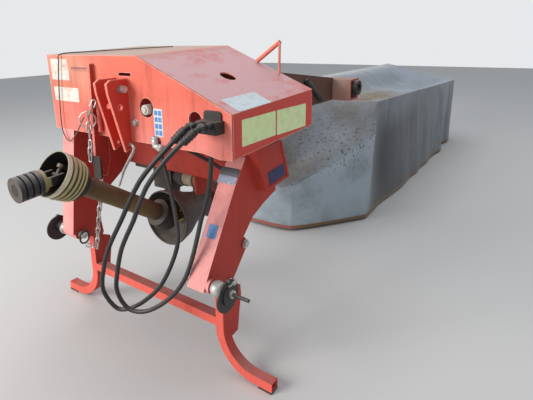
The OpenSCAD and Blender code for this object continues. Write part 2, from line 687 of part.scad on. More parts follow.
module foot_pads() stood() color("black") both_sides()
    box([foot_x - 57, foot_x], [post_y, post_y + post_d], [0, pad_t]);

// Boom: pivot tube, box to the left and arm to the rear
module boom() stood() color(red) difference() {
    union() {
        rod_z(beam_z + 14 + seat, column_top - seat, pivot_x, pivot_y, pivot_r);
        box([pivot_x, boom_x - boom_w], [pivot_y - 70, pivot_y + 70], [arm_z0, arm_z1]);
        difference() {
            yz_plate(boom_x - boom_w, boom_w, [[pivot_y - 83, arm_z0], [pivot_y - 83, arm_z1 + 7], [head_y - 42, head_z + 60],
                [head_y - head_w / 2, head_z + head_w / 2], [head_y - head_w / 2, head_z - head_w / 2],
                [pivot_y + 275, head_z - head_w / 2], [pivot_y + 100, arm_z0]]);
            yz_plate(boom_x - boom_w + boom_t, boom_w - 2 * boom_t, [[pivot_y + 78, arm_z0 + 8],
                [pivot_y + 78, arm_z1 - 20], [head_y - 64, head_z + 45], [head_y - 64, head_z - 46],
                [pivot_y + 277, head_z - 46], [pivot_y + 103, arm_z0 + 8]]);
        }
        for (z = [cyl_z - eye_h / 2 - 14, cyl_z + eye_h / 2]) translate([pivot_x, pivot_y, z])
            rotate([0, 0, swing_a]) {
                translate([0, -28, 0]) cube([lug_arm, 56, 14]);
                translate([lug_arm, 0, 0]) cylinder(h = 14, r = 28);
            }
    }
    rod_z(beam_z, column_top + 10, pivot_x, pivot_y, pivot_pin_r + run);
    rod_z(cyl_z - 50, cyl_z + 50, lug_x, lug_y, 12.5);
}

// Head of the boom: a square box and the axle of the contour pivot
module boom_head() stood() color(red) {
    difference() {
        box([boom_x - boom_w, head_x], [head_y - head_w / 2, head_y + head_w / 2],
            [head_z - head_w / 2, head_z + head_w / 2]);
        box([boom_x + 10, head_x + 1], [head_y - head_w / 2 + 10, head_y + head_w / 2 - 10],
            [head_z - head_w / 2 + 10, head_z + head_w / 2 - 10]);
    }
    rod_x(hub_x0 - 30, boom_x - boom_w, head_y, head_z, axle_r);
    rod_x(hub_x0 - 30, hub_x0 - gap, head_y, head_z, axle_r + 18);
}
hub_x0 = -270;
hub_x1 = -120;
gear_x0 = hub_x0 - 10;
gear_x1 = 0;

module head_buffer() stood() color("black") difference() {
    rod_x(head_x, head_x + 26, head_y, head_z + 10, 38);
    rod_x(head_x - 1, head_x + 27, head_y, head_z + 10, 22);
}

// Stay tube on the boom's side, with its ringed end
module boom_stay() stood() color("silver") {
    rod_x(boom_x, boom_x + 14, stay_y, stay_z, 16);
    translate([boom_x + 14, stay_y, stay_z]) rotate([-90 - 34, 0, 0]) cylinder(h = 195, r = 11);
}

// Fold cylinder, drawn along x from its base pin
module along_cylinder() { translate([base_x, base_y, cyl_z]) rotate([0, 0, cyl_a]) children(); }
barrel_len = 350;
module fold_barrel() stood() color("black") along_cylinder() difference() {
    union() {
        rod_z(-eye_h / 2, eye_h / 2, 0, 0, 28);
        box([0, 48], [-20, 20], [-eye_h / 2, eye_h / 2]);
        rod_x(46, barrel_len, 0, 0, barrel_r);
    }
    rod_z(-eye_h, eye_h, 0, 0, 12 + run);
    rod_x(60, barrel_len - 20, 0, 0, barrel_r - 6);
    rod_x(60, barrel_len + 1, 0, 0, rod_r + run);
}

module fold_rod() stood() color("silver") along_cylinder() {
    rod_x(80, cyl_len - eye_r + 4, 0, 0, rod_r);
    rod_x(80, 104, 0, 0, barrel_r - 6 - run);
    rod_z(-eye_h / 2 + 4, eye_h / 2 - 4, cyl_len, 0, eye_r);
}

// Cast arm that carries the cutterbar from the contour pivot
module hanger() stood() color(red) difference() {
    union() {
        rod_x(hub_x0, hub_x1, head_y, head_z, axle_r + 25);
        yz_plate(hub_x0, hub_x1 - hub_x0, [[head_y - 60, head_z], [head_y - 40, head_z - 300],
            [head_y + 75, head_z - 560], [head_y + 75, head_z - 625], [head_y + 190, head_z - 625],
            [head_y + 175, head_z - 540], [head_y + 60, head_z - 280], [head_y + 65, head_z]]);
    }
    rod_x(hub_x0 - 1, hub_x1 + 1, head_y, head_z, axle_r + run);
    for (x = [hub_x0 - 1, hub_x1 - 24]) yz_plate(x, 25, [[head_y - 30, head_z - 110],
        [head_y - 12, head_z - 290], [head_y + 95, head_z - 540], [head_y + 140, head_z - 540],
        [head_y + 32, head_z - 280], [head_y + 30, head_z - 110]]);
}

module inner_gearbox() stood() color("dimgray") {
    difference() {
        box([gear_x0, gear_x1], [head_y + 60, bed_y0], [bed_z, head_z - 625]);
        for (x = [gear_x0 - 1, gear_x1 - 9]) box([x, x + 10], [head_y + 80, bed_y0 - 20], [bed_z + 80, 260]);
    }
    rod_z(head_z - 640, head_z - 625.5, (hub_x0 + hub_x1) / 2, head_y + 132, 52);
}

// Bed of the cutterbar: a flat gear case with a stepped rim and a hub under each disc
module cutterbar_bed() stood() color(red) {
    box([bed_x0, bed_x0 + bed_w], [bed_y0, bed_y1], [bed_z, bed_top - 12]);
    box([bed_x0 + 20, bed_x0 + bed_w - 20], [bed_y0, bed_y1], [bed_top - 13, bed_top]);
    for (i = [0:discs - 1]) rod_z(bed_top - 1, bed_top + disc_lift - seat, disc_x, disc_y + i * disc_pitch, 55);
    for (y = post_ys) box([bed_x0 + bed_w - 1, cover_post_x + 20], [y - 20, y + 20], [bed_z + 5, bed_top - 5]);
}

// Bent skid plates under the bed, one to a disc
module skid_shoes() stood() color("silver") for (i = [0:discs - 1])
    xz_plate(disc_y + i * disc_pitch - 130, 260, [[bed_x0 - 12, bed_top], [bed_x0 - 12, 60],
        [bed_x0 + 12, 14], [bed_x0 + 40, 0], [bed_x0 + bed_w - 30, 0], [bed_x0 + bed_w, 20],
        [bed_x0 + bed_w, bed_z], [bed_x0 + bed_w - 6, bed_z], [bed_x0 + bed_w - 6, 23],
        [bed_x0 + bed_w - 33, 6], [bed_x0 + 120, 6], [bed_x0 + 120, bed_z], [bed_x0 + 112, bed_z],
        [bed_x0 + 112, 6], [bed_x0 + 42, 6], [bed_x0 + 16, 19], [bed_x0, bed_z], [bed_x0, bed_top]]);

module outer_shoe() stood() color(red) {
    yz_plate(bed_x0, bed_w, [[bed_y1, bed_z], [bed_y1, bed_top + 30], [bed_y1 + 10, bed_top + 30],
        [bed_y1 + 10, 8], [bed_y1 - 60, 2], [bed_y1 - 60, 8], [bed_y1 - 10, 12], [bed_y1 - 10, bed_z]]);
    xz_plate(bed_y1, 10, [[bed_x0 - 60, 60], [bed_x0 - 60, 150], [bed_x0 + 60, 260], [bed_x0 + bed_w, 260],
        [bed_x0 + bed_w, bed_top + 30], [bed_x0, bed_top + 30], [bed_x0, 40]]);
}

// Rails under the cover, the bars that carry them, and posts from the bed
module cover_frame() stood() color(red) {
    rod_y(rail_y0, rail_y1, rail_x0, rail_z0, rail_r);
    translate([rail_x1, rail_y2, rail_z1]) rotate([atan(rail_rise) - 90, 0, 0])
        cylinder(h = norm([rail_y1 - rail_y2, rail_z2 - rail_z1]) - 1, r = rail_r);
    for (y = post_ys) {
        side = [y - carrier_w, y + carrier_w];
        box([cover_post_x - 15, cover_post_x + 15], [y - 15, y + 15], [bed_top - 5, carrier_z + 5]);
        box([rail_x0 - carrier_w, rail_x1 + carrier_w], side, [carrier_z - carrier_w, carrier_z + carrier_w]);
        box([rail_x0 - carrier_w, rail_x0 + carrier_w], side, [carrier_z, rail_z0]);
        box([rail_x1 - carrier_w, rail_x1 + carrier_w], side, [carrier_z, rail_z1 + rail_rise * (y - rail_y2)]);
    }
}

// The cover's outline, drawn in by t from its outside
module cover_form(t) {
    reach = rail_r + seat + cloth_t - t;
    side0 = rail_x0 - reach;
    side1 = rail_x1 + reach;
    low = t > 0 ? hem_z - 40 : hem_z;
    front = head_y + 15 + t;
    face = rail_y0 - seat - cloth_t + t;
    back = rail_y1 + seat + cloth_t - t;
    drop = (rail_z0 - rail_z2) / (rail_x1 - rail_x0);
    rise = reach * norm([1, drop]);
    difference() {
        hull() {
            for (y = [face, back])
                xz_plate(y, 0.01, [[side0 - 30, low], [side0, rail_z0 + rise + reach * drop], [side1, low]]);
            translate([side1, rail_y2 - seat - cloth_t + t, rail_z1 + rise]) cube(0.01);
            translate([side1, back, rail_z2 + rise]) cube(0.01);
            xz_plate(front, 0.01, [[-300 + t, low], [-300 + t, 300 - t], [10 - t, 300 - t], [10 - t, low]]);
            translate([370 - t, face, 600]) cube(0.01);
        }
        translate([0, 0, -1.4 * t]) hull() for (i = [0:3]) {
            translate(basin_low[i]) cube(0.01);
            translate(2 * basin_rim[i] - basin_low[i]) cube(0.01);
        }
    }
}

// Cloth cover, sagging between its rails and open below, with an opening where the hanger passes
module canvas() stood() color("lightgray") difference() {
    cover_form(0);
    cover_form(cloth_t);
    box([hub_x0 - 15, hub_x1 + 15], [head_y + 56, head_y + 225], [300, rail_z0]);
}

// A cutting disc: a lens-shaped plate with a domed hub and two blades
module disc(i) {
    lens_w = 110;
    lens_r = (200 * 200 + lens_w * lens_w) / (2 * lens_w);
    translate([disc_x, disc_y + i * disc_pitch, bed_top + disc_lift]) rotate([0, 0, 90 * (i % 2)]) {
        difference() {
            intersection() {
                cylinder(h = 6, r = disc_r);
                translate([lens_r - lens_w, 0, 0]) cylinder(h = 6, r = lens_r);
                translate([lens_w - lens_r, 0, 0]) cylinder(h = 6, r = lens_r);
            }
            for (s = [-1, 1]) translate([0, s * (disc_r - 22), -1]) cylinder(h = 8, r = 9 + run);
        }
        rotate_extrude() polygon([[0, 5.9], [75, 5.9], [70, 14], [48, 30], [40, 44], [0, 44]]);
    }
}

// Two knives on the ends of a disc
module blades(i) {
    translate([disc_x, disc_y + i * disc_pitch, bed_top + disc_lift]) rotate([0, 0, 90 * (i % 2)])
        for (s = [0, 180]) rotate([0, 0, s]) {
            translate([0, disc_r - 22, -5]) cylinder(h = 11, r = 9);
            translate([0, disc_r - 22, 6]) cylinder(h = 5, r = 14);
            translate([-20, disc_r - 45, -5]) cube([40, tip_r - disc_r + 43, 4.8]);
        }
}

module disc_set(i) stood() color("dimgray") {
    disc(i);
    blades(i);
}
module disc_1() disc_set(0);
module disc_2() disc_set(1);
module disc_3() disc_set(2);
module disc_4() disc_set(3);
module disc_5() disc_set(4);
module disc_6() disc_set(5);
module disc_7() disc_set(6);

front_panel();
hood();
side_rib();
mast_plates();
clevis_plates();
top_link_pin();
cross_beam();
left_leg();
right_leg();
lower_pins();
link_balls();
catch_plates();
linch_pin();
gearbox();
bowl_guard();
side_shaft();
shaft_bracket();
pivot_gearbox();
pivot_column();
pivot_pin();
cylinder_bracket();
stand_brackets();
hose_block();
hose_unions();
hose_1();
hose_2();
hose_3();
rope();
upper_chain();
lower_chain();
hook_rod();
hood_lever();
pto_guard();
pto_shaft();
front_yoke();
rear_yoke();
stand_frame();
foot_pads();
boom();
boom_head();
head_buffer();
boom_stay();
fold_barrel();
fold_rod();
hanger();
inner_gearbox();
cutterbar_bed();
skid_shoes();
outer_shoe();
cover_frame();
canvas();
disc_1();
disc_2();
disc_3();
disc_4();
disc_5();
disc_6();
disc_7();
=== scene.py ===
# %% [markdown]
# # A folded disc mower
# A mounted mower parked on its stand: a headstock of orange-red sheet and plate in front, and behind it the
# long cutter unit, folded back under a grey cloth cover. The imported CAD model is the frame, and this script
# dresses it: camera and light first, then the finishes, the hoses and the rope, the cloth cover and the
# small fittings.

# %% Load the frame
import math

import bmesh
import bpy
from mathutils import Matrix, Vector, noise


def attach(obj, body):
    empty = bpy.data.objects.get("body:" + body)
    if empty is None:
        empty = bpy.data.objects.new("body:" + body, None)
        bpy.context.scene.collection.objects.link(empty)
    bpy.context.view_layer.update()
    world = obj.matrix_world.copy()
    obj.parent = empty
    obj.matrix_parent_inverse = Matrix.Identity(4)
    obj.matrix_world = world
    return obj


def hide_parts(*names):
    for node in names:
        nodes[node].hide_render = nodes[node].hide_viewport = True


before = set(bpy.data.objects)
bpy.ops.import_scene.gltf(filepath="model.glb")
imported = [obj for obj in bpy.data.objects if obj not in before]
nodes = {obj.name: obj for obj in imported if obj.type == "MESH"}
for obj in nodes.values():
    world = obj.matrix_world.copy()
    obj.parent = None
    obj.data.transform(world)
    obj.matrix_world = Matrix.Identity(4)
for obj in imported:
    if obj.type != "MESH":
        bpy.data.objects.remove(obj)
scene = bpy.context.scene
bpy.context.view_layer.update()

# %% [markdown]
# ## Places
# The frame's origin lies midway between the lower link pins, 407 mm over the ground. Heights are easier to
# think about over the ground, so one helper takes them that way, in metres.

# %% Places over the ground
PIN_HEIGHT = 0.407


def at(x, y, height):
    """A point from its place across, behind the pins and over the ground."""
    return Vector((x, y, height - PIN_HEIGHT))


def mm(x, y, height):
    """The same from the source's millimetres."""
    return at(x / 1000, y / 1000, height / 1000)


# %% [markdown]
# ## Camera
# The picture was taken from the front left, at chest height, a little tilted. The frame is not centred on the
# lens, so the camera is shifted instead of turned, which keeps upright edges as they were. Its turn is put
# together from three angles, and the focal length is given in pixels of the frame.

# %% Camera
YAW, PITCH, ROLL = math.radians(35.94), math.radians(14.63), math.radians(-1.1)
FRAME_WIDTH, FRAME_HEIGHT, FOCAL_PIXELS = 533, 400, 432.57
LENS_CENTRE = (240, 150)
LENS_PLACE = mm(1255.8, -991.1, 1220.4)
camera_data = bpy.data.cameras.new("camera")
camera = bpy.data.objects.new("camera", camera_data)
scene.collection.objects.link(camera)
scene.camera = camera
forward = Vector((-math.sin(YAW), math.cos(YAW), 0))
right = Vector((math.cos(YAW), math.sin(YAW), 0))
upward = Vector((0, 0, 1))
ahead = math.cos(PITCH) * forward - math.sin(PITCH) * upward
above = math.sin(PITCH) * forward + math.cos(PITCH) * upward
side = math.cos(ROLL) * right + math.sin(ROLL) * above
top = -math.sin(ROLL) * right + math.cos(ROLL) * above
turn = Matrix((side, top, -ahead)).transposed().to_4x4()
camera.matrix_world = Matrix.Translation(LENS_PLACE) @ turn
camera_data.sensor_width = 36
camera_data.lens = FOCAL_PIXELS * camera_data.sensor_width / FRAME_WIDTH
camera_data.shift_x = (FRAME_WIDTH / 2 - LENS_CENTRE[0]) / FRAME_WIDTH
camera_data.shift_y = (LENS_CENTRE[1] - FRAME_HEIGHT / 2) / FRAME_WIDTH
print("lens", round(camera_data.lens, 2), "mm, shift", round(camera_data.shift_x, 4),
      round(camera_data.shift_y, 4))

# %% [markdown]
# ## Light, backdrop and floor
# Daylight under cloud: a broad, faintly blue sky, and a soft key from in front, so the plates that face the
# tractor are bright and the ends are in shade. The background could be that sky too, but a paler one sets the
# mower off better. So a Light Path node shows a backdrop to the camera, and to rays that mirror or pass
# through, while all else is lit by the sky. The floor is plain and pale, and takes the shadow.

# %% Sky and backdrop
SKY_TINT, SKY_STRENGTH = (0.86, 0.93, 1.0, 1), 0.46
BACKDROP_TINT = (0.80, 0.81, 0.82, 1)
scene.view_settings.view_transform = "Standard"
world = bpy.data.worlds.new("sky")
scene.world = world
world.use_nodes = True
sky = world.node_tree
sky_light = sky.nodes["Background"]
sky_light.inputs["Color"].default_value = SKY_TINT
sky_light.inputs["Strength"].default_value = SKY_STRENGTH
backdrop = sky.nodes.new("ShaderNodeBackground")
backdrop.inputs["Color"].default_value = BACKDROP_TINT
seen = sky.nodes.new("ShaderNodeLightPath")
ray = seen.outputs["Is Camera Ray"]
for other in ("Is Glossy Ray", "Is Transmission Ray"):
    either = sky.nodes.new("ShaderNodeMath")
    either.operation = "MAXIMUM"
    sky.links.new(ray, either.inputs[0])
    sky.links.new(seen.outputs[other], either.inputs[1])
    ray = either.outputs[0]
chosen = sky.nodes.new("ShaderNodeMixShader")
sky.links.new(ray, chosen.inputs["Fac"])
sky.links.new(sky_light.outputs[0], chosen.inputs[1])
sky.links.new(backdrop.outputs[0], chosen.inputs[2])
sky.links.new(chosen.outputs[0], sky.nodes["World Output"].inputs["Surface"])


# %% Lamps and floor
def area_lamp(name, place, target, size, watts, tint=(1, 1, 1)):
    """A square lamp at one point that shines towards another."""
    data = bpy.data.lights.new(name, "AREA")
    data.size = size
    data.energy = watts
    data.color = tint
    lamp = bpy.data.objects.new(name, data)
    lamp.location = place
    lamp.rotation_euler = (place - target).to_track_quat("Z", "Y").to_euler()
    scene.collection.objects.link(lamp)


area_lamp("key", at(-2.4, -4.6, 3.0), at(0, 0.8, 0.5), size=3.0, watts=308, tint=(1.0, 0.97, 0.93))
area_lamp("top", at(-0.5, 2.0, 5.5), at(0, 2.0, 0.3), size=4.5, watts=120)

FLOOR_TINT, FLOOR_REACH = (0.62, 0.61, 0.60, 1), 14
floor_mesh = bmesh.new()
bmesh.ops.create_grid(floor_mesh, x_segments=1, y_segments=1, size=FLOOR_REACH,
                      matrix=Matrix.Translation(at(0, 3, 0)))
floor_data = bpy.data.meshes.new("floor")
floor_mesh.to_mesh(floor_data)
floor_mesh.free()
floor = bpy.data.objects.new("floor", floor_data)
scene.collection.objects.link(floor)
floor_look = bpy.data.materials.new("pale floor")
floor_look.use_nodes = True
floor_shader = floor_look.node_tree.nodes["Principled BSDF"]
floor_shader.inputs["Base Color"].default_value = FLOOR_TINT
floor_shader.inputs["Roughness"].default_value = 0.9
floor_data.materials.append(floor_look)
print("the floor lies at", at(0, 0, 0).z)

# %% [markdown]
# ## How a finish is built
# Every finish starts from a Principled shader. Noise at two or three scales drives ramps, and the ramps mix
# colours: the paint itself, its faded patches, dust that settles on faces that look up, and rust. Each of
# these helpers adds a node or two and returns the output, so that a finish reads as a short list of layers.

# %% Helpers for finishes
class Finish:
    """A material while it is being built."""

    def __init__(self, name, roughness=0.5, metallic=0.0):
        self.material = bpy.data.materials.new(name)
        self.material.use_nodes = True
        self.tree = self.material.node_tree
        self.shader = self.tree.nodes["Principled BSDF"]
        self.shader.inputs["Roughness"].default_value = roughness
        self.shader.inputs["Metallic"].default_value = metallic
        self.place = self.tree.nodes.new("ShaderNodeTexCoord").outputs["Object"]
        self.facing = self.tree.nodes.new("ShaderNodeNewGeometry").outputs["Normal"]

    def plug(self, socket, value):
        """Feeds an input from another node's output, or sets it to a plain value."""
        if isinstance(value, bpy.types.NodeSocket):
            self.tree.links.new(value, socket)
        else:
            socket.default_value = value

    def add(self, kind, **inputs):
        """A node whose inputs are given by name."""
        made = self.tree.nodes.new(kind)
        for name, value in inputs.items():
            self.plug(made.inputs[name.replace("_", " ")], value)
        return made

    def noise(self, scale, detail=4.0, roughness=0.55, place=None):
        """Clouds between 0 and 1, on Object coordinates unless another place is given."""
        made = self.add("ShaderNodeTexNoise", Vector=place or self.place, Scale=scale, Detail=detail,
                        Roughness=roughness)
        return made.outputs["Fac"]

    def stretched(self, x, y, z):
        """Object coordinates scaled by axis, for streaks and grain."""
        return self.add("ShaderNodeMapping", Vector=self.place, Scale=(x, y, z)).outputs["Vector"]

    def xyz(self):
        """Object coordinates as three numbers."""
        return self.add("ShaderNodeSeparateXYZ", Vector=self.place).outputs[:]

    def ramp(self, fac, low, high):
        """0 at low, 1 at high, even between them and level beyond them; low may be the larger."""
        return self.add("ShaderNodeMapRange", Value=fac, From_Min=low, From_Max=high).outputs["Result"]

    def times(self, product, *others):
        """Shares multiplied, one after the other."""
        for other in others:
            made = self.tree.nodes.new("ShaderNodeMath")
            made.operation = "MULTIPLY"
            made.use_clamp = True
            self.plug(made.inputs[0], product)
            self.plug(made.inputs[1], other)
            product = made.outputs[0]
        return product

    def mix(self, fac, a, b):
        """Colour a where fac is 0 and b where it is 1; the node's inputs 6 and 7 are colours."""
        made = self.tree.nodes.new("ShaderNodeMix")
        made.data_type = "RGBA"
        for index, value in ((0, fac), (6, a), (7, b)):
            self.plug(made.inputs[index], value)
        return made.outputs[2]

    def upward(self, low, high):
        """How far a face looks up, as 0 to 1."""
        parts = self.add("ShaderNodeSeparateXYZ", Vector=self.facing)
        return self.ramp(parts.outputs["Z"], low, high)

    def vector(self, operation, *values):
        """One vector sum of given vectors or other nodes' outputs; dot products and lengths are numbers."""
        made = self.tree.nodes.new("ShaderNodeVectorMath")
        made.operation = operation
        for socket, value in zip(made.inputs, values):
            self.plug(socket, value)
        return made.outputs["Value" if operation in ("DOT_PRODUCT", "LENGTH") else "Vector"]

    def toward(self, direction, low, high):
        """How far a face looks in one direction, as 0 to 1."""
        return self.ramp(self.vector("DOT_PRODUCT", self.facing, direction), low, high)

    def edge_highlight_and_wear(self, radius):
        """1 along outer and inner corners, where paint is rubbed thin and a highlight is painted, and 0 on
        open faces.
        """
        rounded = self.add("ShaderNodeBevel", Radius=radius)
        rounded.samples = 3
        return self.ramp(self.vector("DOT_PRODUCT", rounded.outputs["Normal"], self.facing), 0.985, 0.90)

    def along(self, origin, direction):
        """Distance along a line, in metres."""
        return self.vector("DOT_PRODUCT", self.vector("SUBTRACT", self.place, origin), direction)

    def colour(self, socket):
        """Takes the finished colour."""
        self.tree.links.new(socket, self.shader.inputs["Base Color"])

    def rough(self, socket):
        """Takes the roughness where it varies."""
        self.tree.links.new(socket, self.shader.inputs["Roughness"])

    def bump(self, height, strength, distance):
        """A fine relief that only the light sees; distance is its depth in metres."""
        made = self.add("ShaderNodeBump", Height=height, Strength=strength, Distance=distance)
        self.tree.links.new(made.outputs["Normal"], self.shader.inputs["Normal"])


def srgb(r, g, b):
    """A colour from its 0 to 255 values, as the shader wants it."""
    def linear(value):
        share = value / 255
        return share / 12.92 if value <= 10 else ((share + 0.055) / 1.055) ** 2.4
    return linear(r), linear(g), linear(b), 1


DUST = srgb(158, 146, 138)
RUST = srgb(104, 58, 34)
GRIME = srgb(52, 42, 38)
# EDGE is pale for rubbed paint and for a painted highlight along edges.
EDGE = srgb(250, 196, 176)


# %% [markdown]
# ## Paint
# The mower's orange-red enamel has gone chalky. Faces that look forward have bleached to a pale salmon and
# are painted lighter as well, as if lit from in front; the sides have kept a deep brick red, and the tops are
# grey with dust. It is chipped and rusty in small spots, pale along its edges, as rubbed paint and as a
# painted highlight, and streaked down its upright faces where rain has run. One recipe makes all of the
# painted pieces, and each kind of piece has its own three colours and its own share of dust and rust.

# %% Paint
# The way that the faces look which are bleached and painted lighter, as if lit: forward, and a little up.
FORWARD = (0, -0.96, 0.28)


def enamel(name, fresh, faded, bleached_and_lit, fade, dust, rust=0.45, streaks=0.35, edges=False, tints=None):
    """Chalky paint; tints may vary the bleached and lit colour by place, and edges are painted pale, as
    rubbed paint and a highlight.
    """
    f = Finish(name, roughness=0.42)

    # Fresh paint with faded clouds; where it looks forward, bleached and painted lighter, as if lit from in
    # front.
    cloudy = f.ramp(f.noise(3.2, 5, 0.62), 0.36, 0.72)
    fine = f.noise(46, 6, 0.7)
    body = f.mix(f.times(cloudy, fade), fresh, faded)
    bleached_and_lit_share = f.times(f.toward(FORWARD, 0.35, 0.8), f.ramp(f.noise(5, 5, 0.6), 0.12, 0.5))
    body = f.mix(f.times(bleached_and_lit_share, 0.9), body, tints(f, bleached_and_lit) if tints else bleached_and_lit)

    # Edges painted pale, as rubbed paint and as a painted highlight; streaks of rain; and spots of rust in
    # patches.
    if edges:
        body = f.mix(f.times(f.edge_highlight_and_wear(0.005), f.ramp(fine, 0.3, 0.5)), body, EDGE)
    runs = f.ramp(f.noise(1, 4, 0.6, f.stretched(34, 34, 2.2)), 0.52, 0.78)
    body = f.mix(f.times(runs, streaks), body, GRIME)
    spots = f.ramp(f.noise(95, 3, 0.55), 0.69, 0.74)
    patches = f.ramp(f.noise(7, 3, 0.6), 0.5, 0.64)
    body = f.mix(f.times(spots, patches, rust), body, RUST)

    # Dust on what looks up, which takes the shine as well.
    settled = f.times(f.upward(0.35, 0.95), f.ramp(f.noise(9, 6, 0.68), 0.25, 0.6))
    body = f.mix(f.times(settled, dust), body, DUST)
    f.colour(body)
    f.rough(f.ramp(f.mix(f.times(settled, 0.8), fine, (1, 1, 1, 1)), -1.2, 1.25))
    f.bump(fine, 0.12, 0.0012)
    return f.material


def panel_tints(f, bleached_and_lit):
    """The panel is peach at its upper far end, pinker towards its lower edge, and has one dirty dent."""
    x, _, z = f.xyz()
    far_end = f.times(f.ramp(x, -0.08, -0.22), f.ramp(z, 0.52, 0.66))
    tinted = f.mix(f.times(far_end, 0.8), bleached_and_lit, srgb(226, 156, 130))
    low = f.times(f.ramp(z, 0.62, 0.50), f.ramp(f.noise(6, 5, 0.6), 0.25, 0.6))
    tinted = f.mix(f.times(low, 0.75), tinted, srgb(244, 150, 142))
    dent = f.times(f.times(f.ramp(x, -0.300, -0.290), f.ramp(x, -0.180, -0.190)),
                   f.times(f.ramp(z, 0.696, 0.700), f.ramp(z, 0.716, 0.712)))
    dirt = f.times(dent, f.ramp(f.noise(30, 5, 0.7), 0.3, 0.5))
    return f.mix(f.times(dirt, 0.8), tinted, srgb(134, 82, 72))


red = enamel("orange-red enamel", srgb(186, 54, 40), srgb(192, 78, 60), srgb(240, 118, 96),
             fade=0.42, dust=0.55, edges=True, tints=panel_tints)
bright_red = enamel("bright red enamel", srgb(214, 62, 46), srgb(206, 72, 56), srgb(244, 122, 100),
                    fade=0.4, dust=0.4, rust=0.3, edges=True)
deep_red = enamel("shaded red enamel", srgb(186, 56, 44), srgb(170, 74, 60), srgb(196, 70, 56),
                  fade=0.4, dust=0.75, rust=0.7)
stand_red = enamel("stand enamel", srgb(192, 58, 46), srgb(184, 66, 54), srgb(240, 104, 88),
                   fade=0.5, dust=0.45, rust=0.3)
leg_red = enamel("faded leg enamel", srgb(192, 58, 46), srgb(184, 66, 54), srgb(255, 170, 166),
                 fade=0.5, dust=0.5, rust=0.3)
old_red = enamel("weathered enamel", srgb(150, 58, 46), srgb(140, 88, 74), srgb(196, 116, 104),
                 fade=0.6, dust=0.7, rust=0.9)
head_red = enamel("dusty head enamel", srgb(176, 74, 62), srgb(160, 112, 100), srgb(176, 146, 134),
                  fade=0.8, dust=0.9, rust=0.5)
boom_red = enamel("dirty boom enamel", srgb(92, 46, 36), srgb(96, 76, 54), srgb(116, 66, 52),
                  fade=0.8, dust=0.8, rust=0.9, streaks=0.6)


# %% [markdown]
# ## Metal, rubber and cast iron
# Bare and zinc-plated parts are grey, with dull and rusty patches. The gearboxes are dusty cast iron, the
# hoses satin rubber, the stand's pads dull rubber and the rope weathered twine. Two recipes make them: one
# for metal that mirrors, and one for dark and matt things that hold dust. The CAD nodes then get their
# finishes by name, on the material slots they have.

# %% Metal, rubber and cast iron
def steel(name, bright, dull, roughness=0.42, grime=0.5, metallic=0.75):
    """Bare or plated metal, dull in patches and rusty in fewer."""
    f = Finish(name, roughness, metallic)
    body = f.mix(f.ramp(f.noise(28, 5, 0.6), 0.35, 0.7), bright, dull)
    body = f.mix(f.times(f.ramp(f.noise(11, 5, 0.7), 0.52, 0.68), grime), body, RUST)
    f.colour(body)
    f.bump(f.noise(160, 4, 0.6), 0.15, 0.0006)
    return f.material


def dusty(name, base, roughness, dust, grain=60, depth=0.0012):
    """A matt thing with dust on what looks up; grain is fine where its number is large."""
    f = Finish(name, roughness)
    darker = (*(0.62 * c for c in base[:3]), 1)
    body = f.mix(f.ramp(f.noise(14, 5, 0.65), 0.35, 0.7), base, darker)
    settled = f.times(f.upward(-0.1, 0.9), f.ramp(f.noise(12, 6, 0.7), 0.3, 0.62))
    f.colour(f.mix(f.times(settled, dust), body, DUST))
    f.bump(f.noise(grain, 5, 0.65), 0.3, depth)
    return f.material


zinc = steel("zinc plate", srgb(216, 216, 212), srgb(150, 148, 144), metallic=0.45)
worn_steel = steel("worn steel", srgb(120, 112, 106), srgb(78, 68, 62), roughness=0.5, grime=0.8)
yellow_zinc = steel("yellow passivated steel", srgb(176, 150, 84), srgb(120, 96, 60), grime=0.7)
black_steel = dusty("blackened steel", srgb(40, 38, 38), roughness=0.5, dust=0.35, grain=90, depth=0.0008)
cast_iron = dusty("dusty cast iron", srgb(96, 88, 82), roughness=0.75, dust=0.75, grain=90, depth=0.002)
rubber = dusty("hose rubber", srgb(34, 34, 36), roughness=0.48, dust=0.28, grain=120, depth=0.0005)
pad_rubber = dusty("pad rubber", srgb(40, 38, 36), roughness=0.8, dust=0.6)
twine = dusty("weathered twine", srgb(120, 112, 98), roughness=0.9, dust=0.2, grain=900, depth=0.0006)


# %% Finishes on the CAD nodes
def dress(material, *names):
    """Gives CAD nodes a finish on their own material slots."""
    for name in names:
        for slot in nodes[name].material_slots:
            slot.material = material


dress(red, "front_panel", "side_rib", "hood_lever")
dress(bright_red, "clevis_plates")
dress(deep_red, "mast_plates", "cross_beam", "pivot_column", "cylinder_bracket", "shaft_bracket",
      "stand_brackets")
dress(leg_red, "left_leg", "right_leg")
dress(stand_red, "stand_frame")
dress(boom_red, "boom", "hanger")
dress(head_red, "boom_head")
dress(old_red, "cutterbar_bed", "outer_shoe", "cover_frame")
dress(zinc, "top_link_pin", "lower_pins", "link_balls", "hook_rod", "upper_chain", "lower_chain",
      "hose_unions", "pivot_pin", "fold_rod")
dress(cast_iron, "gearbox", "pivot_gearbox", "inner_gearbox")
dress(black_steel, "catch_plates", "hose_block", "linch_pin", "boom_stay")
dress(yellow_zinc, "rear_yoke")
dress(worn_steel, "pto_shaft", "skid_shoes", "disc_1", "disc_2", "disc_3", "disc_4", "disc_5",
      "disc_6", "disc_7")
dress(pad_rubber, "foot_pads", "head_buffer", "fold_barrel")
print(len(bpy.data.materials), "finishes so far")

# %% [markdown]
# ## Hoses and rope
# The hoses and the rope are cords: round, of a fixed length, hung between two ends. Each is a curve through
# the same points as in the CAD source, with a round section. A Bezier curve would bend evenly too, but the
# length of a line of short straight steps is simply their sum. So between the given points the line passes
# through points of its own, each from the four nearest given ones, until its steps are too short to see.
#
# Every new piece of this script is an object that rides on one of the CAD model's bodies, so that it moves
# with it.

# %% A piece on its body
def added(name, data, material, body):
    """A mesh or a curve made into a piece that rides on a body."""
    data.materials.append(material)
    piece = bpy.data.objects.new(name, data)
    scene.collection.objects.link(piece)
    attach(piece, body)
    return piece


